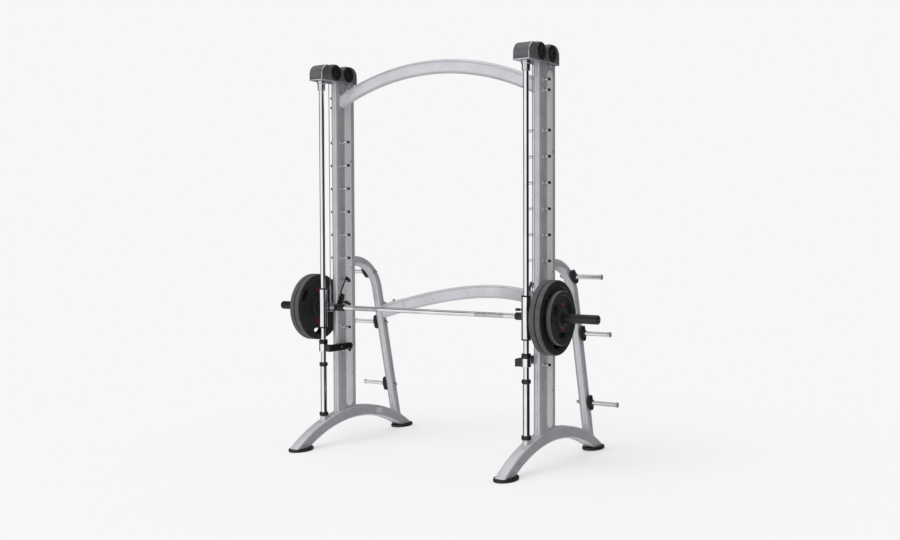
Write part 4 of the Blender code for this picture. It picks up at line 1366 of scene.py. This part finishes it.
hub = {"inner": frameX - 0.104, "outer": frameX - 0.041, "radius": 0.021,
       "bore": 0.0148, "screws": (0.046, 0.074), "knobEnd": frameX - 0.119}


def buildHub():
    r, bore = hub["radius"], hub["bore"]
    a, b = hub["inner"], hub["outer"]
    ring = onBar([(bore, a), (r - 0.0015, a), (r, a + 0.0015), (r, a + 0.016),
                  (r - 0.0012, a + 0.0172), (r - 0.0012, a + 0.0198), (r, a + 0.0210),
                  (r, b - 0.0015), (r - 0.0015, b), (bore, b)], 56, True)
    clamp = slab(leaned([(0.016, -0.014), (0.070, -0.014), (0.088, -0.009), (0.088, 0.0089),
                          (0.016, 0.0089)])[::-1], hook["x"] - 0.013, hook["x"] + 0.013)
    return joined(ring, roundEdges(clamp, 0.0022, 3))


def buildHubKnob():
    # finger knob that the lifter turns the bar's hooks with
    y, z = leaned([(0.040, -0.003)])[0]
    inner = hub["knobEnd"]
    return lathe([(0, inner), (0.0062, inner), (0.0078, inner + 0.0014), (0.0080, inner + 0.004),
                  (0.0080, inner + 0.022), (0.0074, inner + 0.025), (0.0052, inner + 0.027),
                  (0.0050, inner + 0.050), (0, inner + 0.050)], (0, y, z), "X", 32)


def buildHubScrews():
    forward = Vector((0, -lean.y, lean.x))
    shapes = []
    turn = forward.to_track_quat("Z", "Y").to_matrix().to_4x4()
    for out in hub["screws"]:
        screw = screwHead(0, 0, 0, 0.0042, 0.0026, "Z")
        y, z = leaned([(out, hook["front"])])[0]
        shapes.append(placed(screw, Matrix.Translation((hook["x"], y, z)) @ turn))
    return joined(*shapes)


addPair("HookHub", buildHub, blackPowderCoat, "barbell", ["{}_hook_hub"],
        smooth=30)
addPair("HookKnob", buildHubKnob, discPlastic, "barbell")
addPair("HookScrews", buildHubScrews, zincBolt, "barbell")
print("carriages and barbell built")


# Weight plates

plates = {
    "inner_plate": {"ring": 0.145, "long": 0.050, "wide": 0.0185, "mark": "20"},
    "middle_plate": {"ring": 0.145, "long": 0.050, "wide": 0.0185, "mark": "20"},
    "outer_plate": {"ring": 0.090, "long": 0.041, "wide": 0.0170, "mark": "10"},
}
gripAngles = (30, 150, 270)


def bean(ring, long, wide, degrees, x, steps=28):
    # a grip hole's outline, bent to follow the plate's rim
    points = []
    for i in range(steps):
        a = 2 * math.pi * i / steps
        along, across = long * math.cos(a), wide * math.sin(a)
        along = math.copysign(abs(along / long) ** 0.85 * long, along)
        angle = math.radians(degrees) + along / ring
        radius = ring + across
        points.append((x, barY + radius * math.cos(angle), barZ + radius * math.sin(angle)))
    return points


def buildPlate(node, look):
    low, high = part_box(f"right_{node}")
    radius, half = (high.z - low.z) / 2, (high.x - low.x) / 2
    centreX = (low.x + high.x) / 2
    bore, web, rim = 0.0253, half * 0.55, radius * 0.88
    face = [(bore, half - 0.0012), (bore + 0.0012, half), (0.0440, half),
            (0.0460, half - 0.0012), (0.0495, web + 0.0012), (0.0520, web),
            (rim - 0.0105, web), (rim - 0.0070, web + 0.0012),
            (rim - 0.0035, half - 0.0018), (rim - 0.0012, half - 0.0002), (rim + 0.0010, half),
            (radius - 0.0075, half), (radius - 0.0048, half - 0.0005),
            (radius - 0.0016, half - 0.0030), (radius, half - 0.0065)]
    profile = face + [(r, -h) for r, h in reversed(face)]
    disc = lathe(profile, (centreX, barY, barZ), "X", 120, closed=True)
    cutters = []
    for degrees in gripAngles:
        outline = [(y, z) for _, y, z in bean(look["ring"], look["long"], look["wide"],
                                              degrees, 0)]
        cutters.append(slab(outline, centreX - 0.03, centreX + 0.03))
    disc = carved(disc, cutters)
    lips = []
    for degrees in gripAngles:
        for side in (-1, 1):
            path = bean(look["ring"], look["long"] + 0.001, look["wide"] + 0.001, degrees,
                        centreX + side * web, 40)
            lips.append(sweep(path, roundSection(0.0022, 10), upward=(1, 0, 0), closed=True))
    disc.normal_update()
    for face in disc.faces:
        spot = face.calc_center_median()
        out = math.hypot(spot.y - barY, spot.z - barZ)
        face.material_index = int(out > 0.93 * radius and abs(face.normal.x) < 0.8)
    return joined(disc, *lips)


def buildMarks(node, look, side, facing):
    # raised numerals, above and below the hub
    low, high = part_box(f"{side}_{node}")
    radius, half = (high.z - low.z) / 2, (high.x - low.x) / 2
    surface = (low.x + high.x) / 2 + facing * (half * 0.55 - 0.0001)
    shapes = []
    size = radius * 0.21
    for height in (radius * 0.50, -radius * 0.42):
        text = bpy.data.curves.new("mark", "FONT")
        text.body, text.size, text.extrude = look["mark"], size, 0.0005
        text.align_x, text.align_y = "CENTER", "CENTER"
        draft = bpy.data.objects.new("mark", text)
        scene.collection.objects.link(draft)
        graph = bpy.context.evaluated_depsgraph_get()
        mesh = bpy.data.meshes.new_from_object(draft.evaluated_get(graph))
        bpy.data.objects.remove(draft)
        bm = bmesh.new()
        bm.from_mesh(mesh)
        bpy.data.meshes.remove(mesh)
        bmesh.ops.remove_doubles(bm, verts=bm.verts, dist=0.00001)
        turn = Matrix(((0, 0, facing), (facing, 0, 0), (0, 1, 0))).to_4x4()
        shapes.append(outwards(placed(
            bm, Matrix.Translation((surface, barY, barZ + height)) @ turn)))
    return joined(*shapes)


for node, look in plates.items():
    title = "".join(word.capitalize() for word in node.split("_"))
    addPair(title, lambda: buildPlate(node, look), [urethaneSkin, urethaneRim], "{}_plates",
            [f"{{}}_{node}"], smooth=32)
    for side in ("right", "left"):
        marks = joined(*[buildMarks(node, look, side, facing) for facing in (-1, 1)])
        addPiece(f"{side}{title}Marks", marks, markInk, f"{side}_plates")
print("plates built")


# Safety stops

stop = {"low": 0.5655, "ring": 0.612, "high": 0.637, "armTop": 0.6075, "bore": 0.0158,
        "armX": frameX - 0.056, "armHalf": 0.006, "pinY": depth(0.100)}


def buildStopSleeve():
    # catch ring on top, plated sleeve below
    bore, low, ring, high = stop["bore"], stop["low"], stop["ring"], stop["high"]
    return joined(
        (onRod([(bore, ring), (0.0245, ring), (0.026, ring + 0.0015), (0.026, high - 0.0040),
                (0.0245, high - 0.0012), (0.0225, high), (bore, high)]), 1),
        (onRod([(bore, low - 0.0003), (0.0190, low - 0.0003), (0.0195, low + 0.0004),
                (0.0195, ring), (bore, ring)]), 0))


addPair("StopSleeve", buildStopSleeve, [polishedChrome, blackPowderCoat], "{}_stop",
        ["{}_stop_sleeve"])


def buildStopArm():
    low, high = stop["low"], stop["armTop"]
    half = (high - low) / 2
    x = stop["armX"]
    outline = [(-0.014, 0.0), (0.1440, 0.0), (0.1452, 0.0012), (0.1465, 0.0071),
               (0.180, 0.0071), (0.1806, 0.0006)]
    outline += [(0.181 + half * math.sin(a), half - half * math.cos(a))
                for a in (math.radians(9 * i) for i in range(1, 21))]
    outline += [(-0.010, 2 * half), (-0.014, 2 * half - 0.004)]
    blade = roundEdges(slab([(depth(y), low + z) for y, z in outline], x - stop["armHalf"],
                            x + stop["armHalf"]), 0.0012, 2, 40)
    lug = block((x - 0.002, depth(-0.013), low + 0.0006),
                (frameX - 0.0215, depth(0.013), high - 0.0006), 0.002, 2)
    ring = onRod([(0.0204, low), (0.0243, low), (0.0255, low + 0.0012), (0.0255, 0.6105),
                  (0.0243, 0.6117), (0.0204, 0.6117)])
    return joined((blade, 0), (lug, 0), (ring, 1))


def buildStopArmPin():
    # the head of a spring plunger on the arm
    middleZ = (stop["low"] + stop["armTop"]) / 2
    return lathe([(0, -0.0105), (0.0058, -0.0105), (0.0066, -0.0095), (0.0066, -0.0060),
                  (0, -0.0060)], (stop["armX"], stop["pinY"], middleZ), "X", 28)


addPair("StopArm", buildStopArm, [blackPowderCoat, polishedChrome], "{}_stop_arm",
        ["{}_stop_arm"], smooth=32)
addPair("StopArmPin", buildStopArmPin, satinSteel, "{}_stop_arm")

# the counterweights stay as they are in the CAD model, inside the rear columns
for side in ("left", "right"):
    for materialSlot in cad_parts[f"{side}_counterweight"].material_slots:
        materialSlot.material = castIron
print("safety stops built")


# Stage, light and camera

stage = {"floorRadius": 3.6, "backdrop": 0.93, "paper": 0.84, "paperGlow": 0.5,
         "fadeFrom": 1.6, "sun": 1.35, "sunSpread": 50, "sunAim": (0.18, 0.75, -1.0)}
view = {"lens": 44.31, "sensor": 36.0, "across": 3.6592, "back": 5.0582, "high": 1.3017,
        "yaw": 0.5974, "pitch": 0.0377, "roll": -0.0037}


def makeFloor():
    bm = bmesh.new()
    bmesh.ops.create_circle(bm, segments=96, radius=stage["floorRadius"], cap_ends=True)
    mesh = bpy.data.meshes.new("studioFloor")
    bm.to_mesh(mesh)
    bm.free()
    floor = bpy.data.objects.new("studioFloor", mesh)
    scene.collection.objects.link(floor)
    material = bpy.data.materials.new("paleStudioPaper")
    material.use_nodes = True
    tree = material.node_tree
    shader = tree.nodes["Principled BSDF"]
    paper = stage["paper"]
    shader.inputs["Base Color"].default_value = (paper, paper, paper, 1)
    shader.inputs["Roughness"].default_value = 1.0
    shader.inputs["Specular IOR Level"].default_value = 0.0
    # the paper fades into the backdrop towards its edge
    place = addNode(tree, "ShaderNodeTexCoord").outputs["Object"]
    reach = addNode(tree, "ShaderNodeVectorMath", {"operation": "LENGTH"}, {0: place})
    fade = addNode(tree, "ShaderNodeMapRange",
                   {"From Min": stage["fadeFrom"], "From Max": stage["floorRadius"] - 0.1,
                    "To Min": 0.0, "To Max": 1.0}, {"Value": reach.outputs["Value"]})
    level = stage["backdrop"]
    glow = addNode(tree, "ShaderNodeEmission", {"Color": (level, level, level, 1)})
    pale = addNode(tree, "ShaderNodeMixShader", {0: stage["paperGlow"]},
                   {1: shader.outputs[0], 2: glow.outputs[0]})
    clear = addNode(tree, "ShaderNodeBsdfTransparent")
    mixed = addNode(tree, "ShaderNodeMixShader", links={
        0: fade.outputs["Result"], 1: pale.outputs[0], 2: clear.outputs[0]})
    tree.links.new(mixed.outputs[0], tree.nodes["Material Output"].inputs["Surface"])
    mesh.materials.append(material)
    floor.visible_glossy = False


def rampOf(tree, source, stops):
    ramp = addNode(tree, "ShaderNodeValToRGB", links={"Fac": source})
    ramp.color_ramp.interpolation = "EASE"
    elements = ramp.color_ramp.elements
    while len(elements) < len(stops):
        elements.new(0.5)
    for element, (position, value) in zip(elements, stops):
        element.position = position
        element.color = (value, value, value, 1)
    return ramp.outputs["Color"]


def makeWorld():
    # a plain pale backdrop, soft light for matt surfaces, and softboxes between dark flags
    # for what mirrors them
    world = bpy.data.worlds.new("studio")
    scene.world = world
    world.use_nodes = True
    tree = world.node_tree
    tree.nodes.clear()
    direction = addNode(tree, "ShaderNodeTexCoord").outputs["Generated"]
    parts = addNode(tree, "ShaderNodeSeparateXYZ", links={"Vector": direction})
    back = addNode(tree, "ShaderNodeMath", {"operation": "MULTIPLY", 1: -1.0},
                   {0: parts.outputs["Y"]})
    turn = addNode(tree, "ShaderNodeMath", {"operation": "ARCTAN2"},
                   {0: parts.outputs["X"], 1: back.outputs[0]})
    compass = addNode(tree, "ShaderNodeMapRange",
                      {"From Min": -math.pi, "From Max": math.pi, "To Min": 0.0, "To Max": 1.0},
                      {"Value": turn.outputs[0]})
    # 0.5 is straight ahead of the machine, higher goes round to its right
    around = rampOf(tree, compass.outputs["Result"], [
        (0.00, 0.40), (0.06, 0.14), (0.28, 0.08), (0.34, 0.35), (0.385, 1.17), (0.62, 1.17),
        (0.655, 0.02), (0.93, 0.02), (0.97, 0.30), (1.00, 0.40)])
    height = addNode(tree, "ShaderNodeMapRange",
                     {"From Min": -1.0, "From Max": 1.0, "To Min": 0.0, "To Max": 1.0},
                     {"Value": parts.outputs["Z"]})
    band = rampOf(tree, height.outputs["Result"], [
        (0.16, 0.0), (0.30, 1.0), (0.62, 1.0), (0.72, 0.0)])
    caps = rampOf(tree, height.outputs["Result"], [
        (0.20, 0.82), (0.45, 0.6), (0.66, 0.08), (0.80, 0.10), (0.93, 0.95)])
    mirrored = addNode(tree, "ShaderNodeMix", {"data_type": "RGBA"},
                       {0: band, 6: caps, 7: around})
    rays = addNode(tree, "ShaderNodeLightPath")
    soft = rampOf(tree, height.outputs["Result"], [(0.35, 0.72), (0.55, 0.74), (1.0, 0.98)])
    # matt surfaces that face the machine's right get a little less light
    fill = rampOf(tree, compass.outputs["Result"], [
        (0.00, 0.85), (0.30, 1.00), (0.55, 1.05), (0.70, 0.62), (0.85, 0.62), (1.00, 0.85)])
    shaded = addNode(tree, "ShaderNodeMix", {"data_type": "RGBA", "blend_type": "MULTIPLY",
                                             0: 1.0}, {6: soft, 7: fill})
    split = addNode(tree, "ShaderNodeMix", {"data_type": "RGBA"},
                    {0: rays.outputs["Is Glossy Ray"], 6: shaded.outputs[2],
                     7: mirrored.outputs[2]})
    level = stage["backdrop"]
    seen = addNode(tree, "ShaderNodeMix", {"data_type": "RGBA", 7: (level, level, level, 1)},
                   {0: rays.outputs["Is Camera Ray"], 6: split.outputs[2]})
    glow = addNode(tree, "ShaderNodeBackground", links={"Color": seen.outputs[2]})
    addNode(tree, "ShaderNodeOutputWorld", links={"Surface": glow.outputs["Background"]})


def makeSun():
    light = bpy.data.lights.new("softKey", "SUN")
    light.energy = stage["sun"]
    light.angle = math.radians(stage["sunSpread"])
    lamp = bpy.data.objects.new("softKey", light)
    lamp.rotation_euler = Vector(stage["sunAim"]).to_track_quat("-Z", "Y").to_euler()
    lamp.visible_glossy = False
    scene.collection.objects.link(lamp)


def makeCamera():
    lens = bpy.data.cameras.new("camera")
    lens.lens, lens.sensor_width = view["lens"], view["sensor"]
    lens.clip_start, lens.clip_end = 0.1, 100.0
    camera = bpy.data.objects.new("camera", lens)
    camera.location = (view["across"], rodY - view["back"], view["high"])
    yaw, pitch, roll = view["yaw"], view["pitch"], view["roll"]
    forward = Vector((-math.sin(yaw) * math.cos(pitch), math.cos(yaw) * math.cos(pitch),
                      -math.sin(pitch)))
    turn = forward.to_track_quat("-Z", "Y").to_matrix().to_4x4()
    camera.rotation_euler = (turn @ Matrix.Rotation(roll, 4, "Z")).to_euler()
    scene.collection.objects.link(camera)
    scene.camera = camera


makeFloor()
makeWorld()
makeSun()
makeCamera()
scene.view_settings.view_transform = "Standard"
print("stage ready")
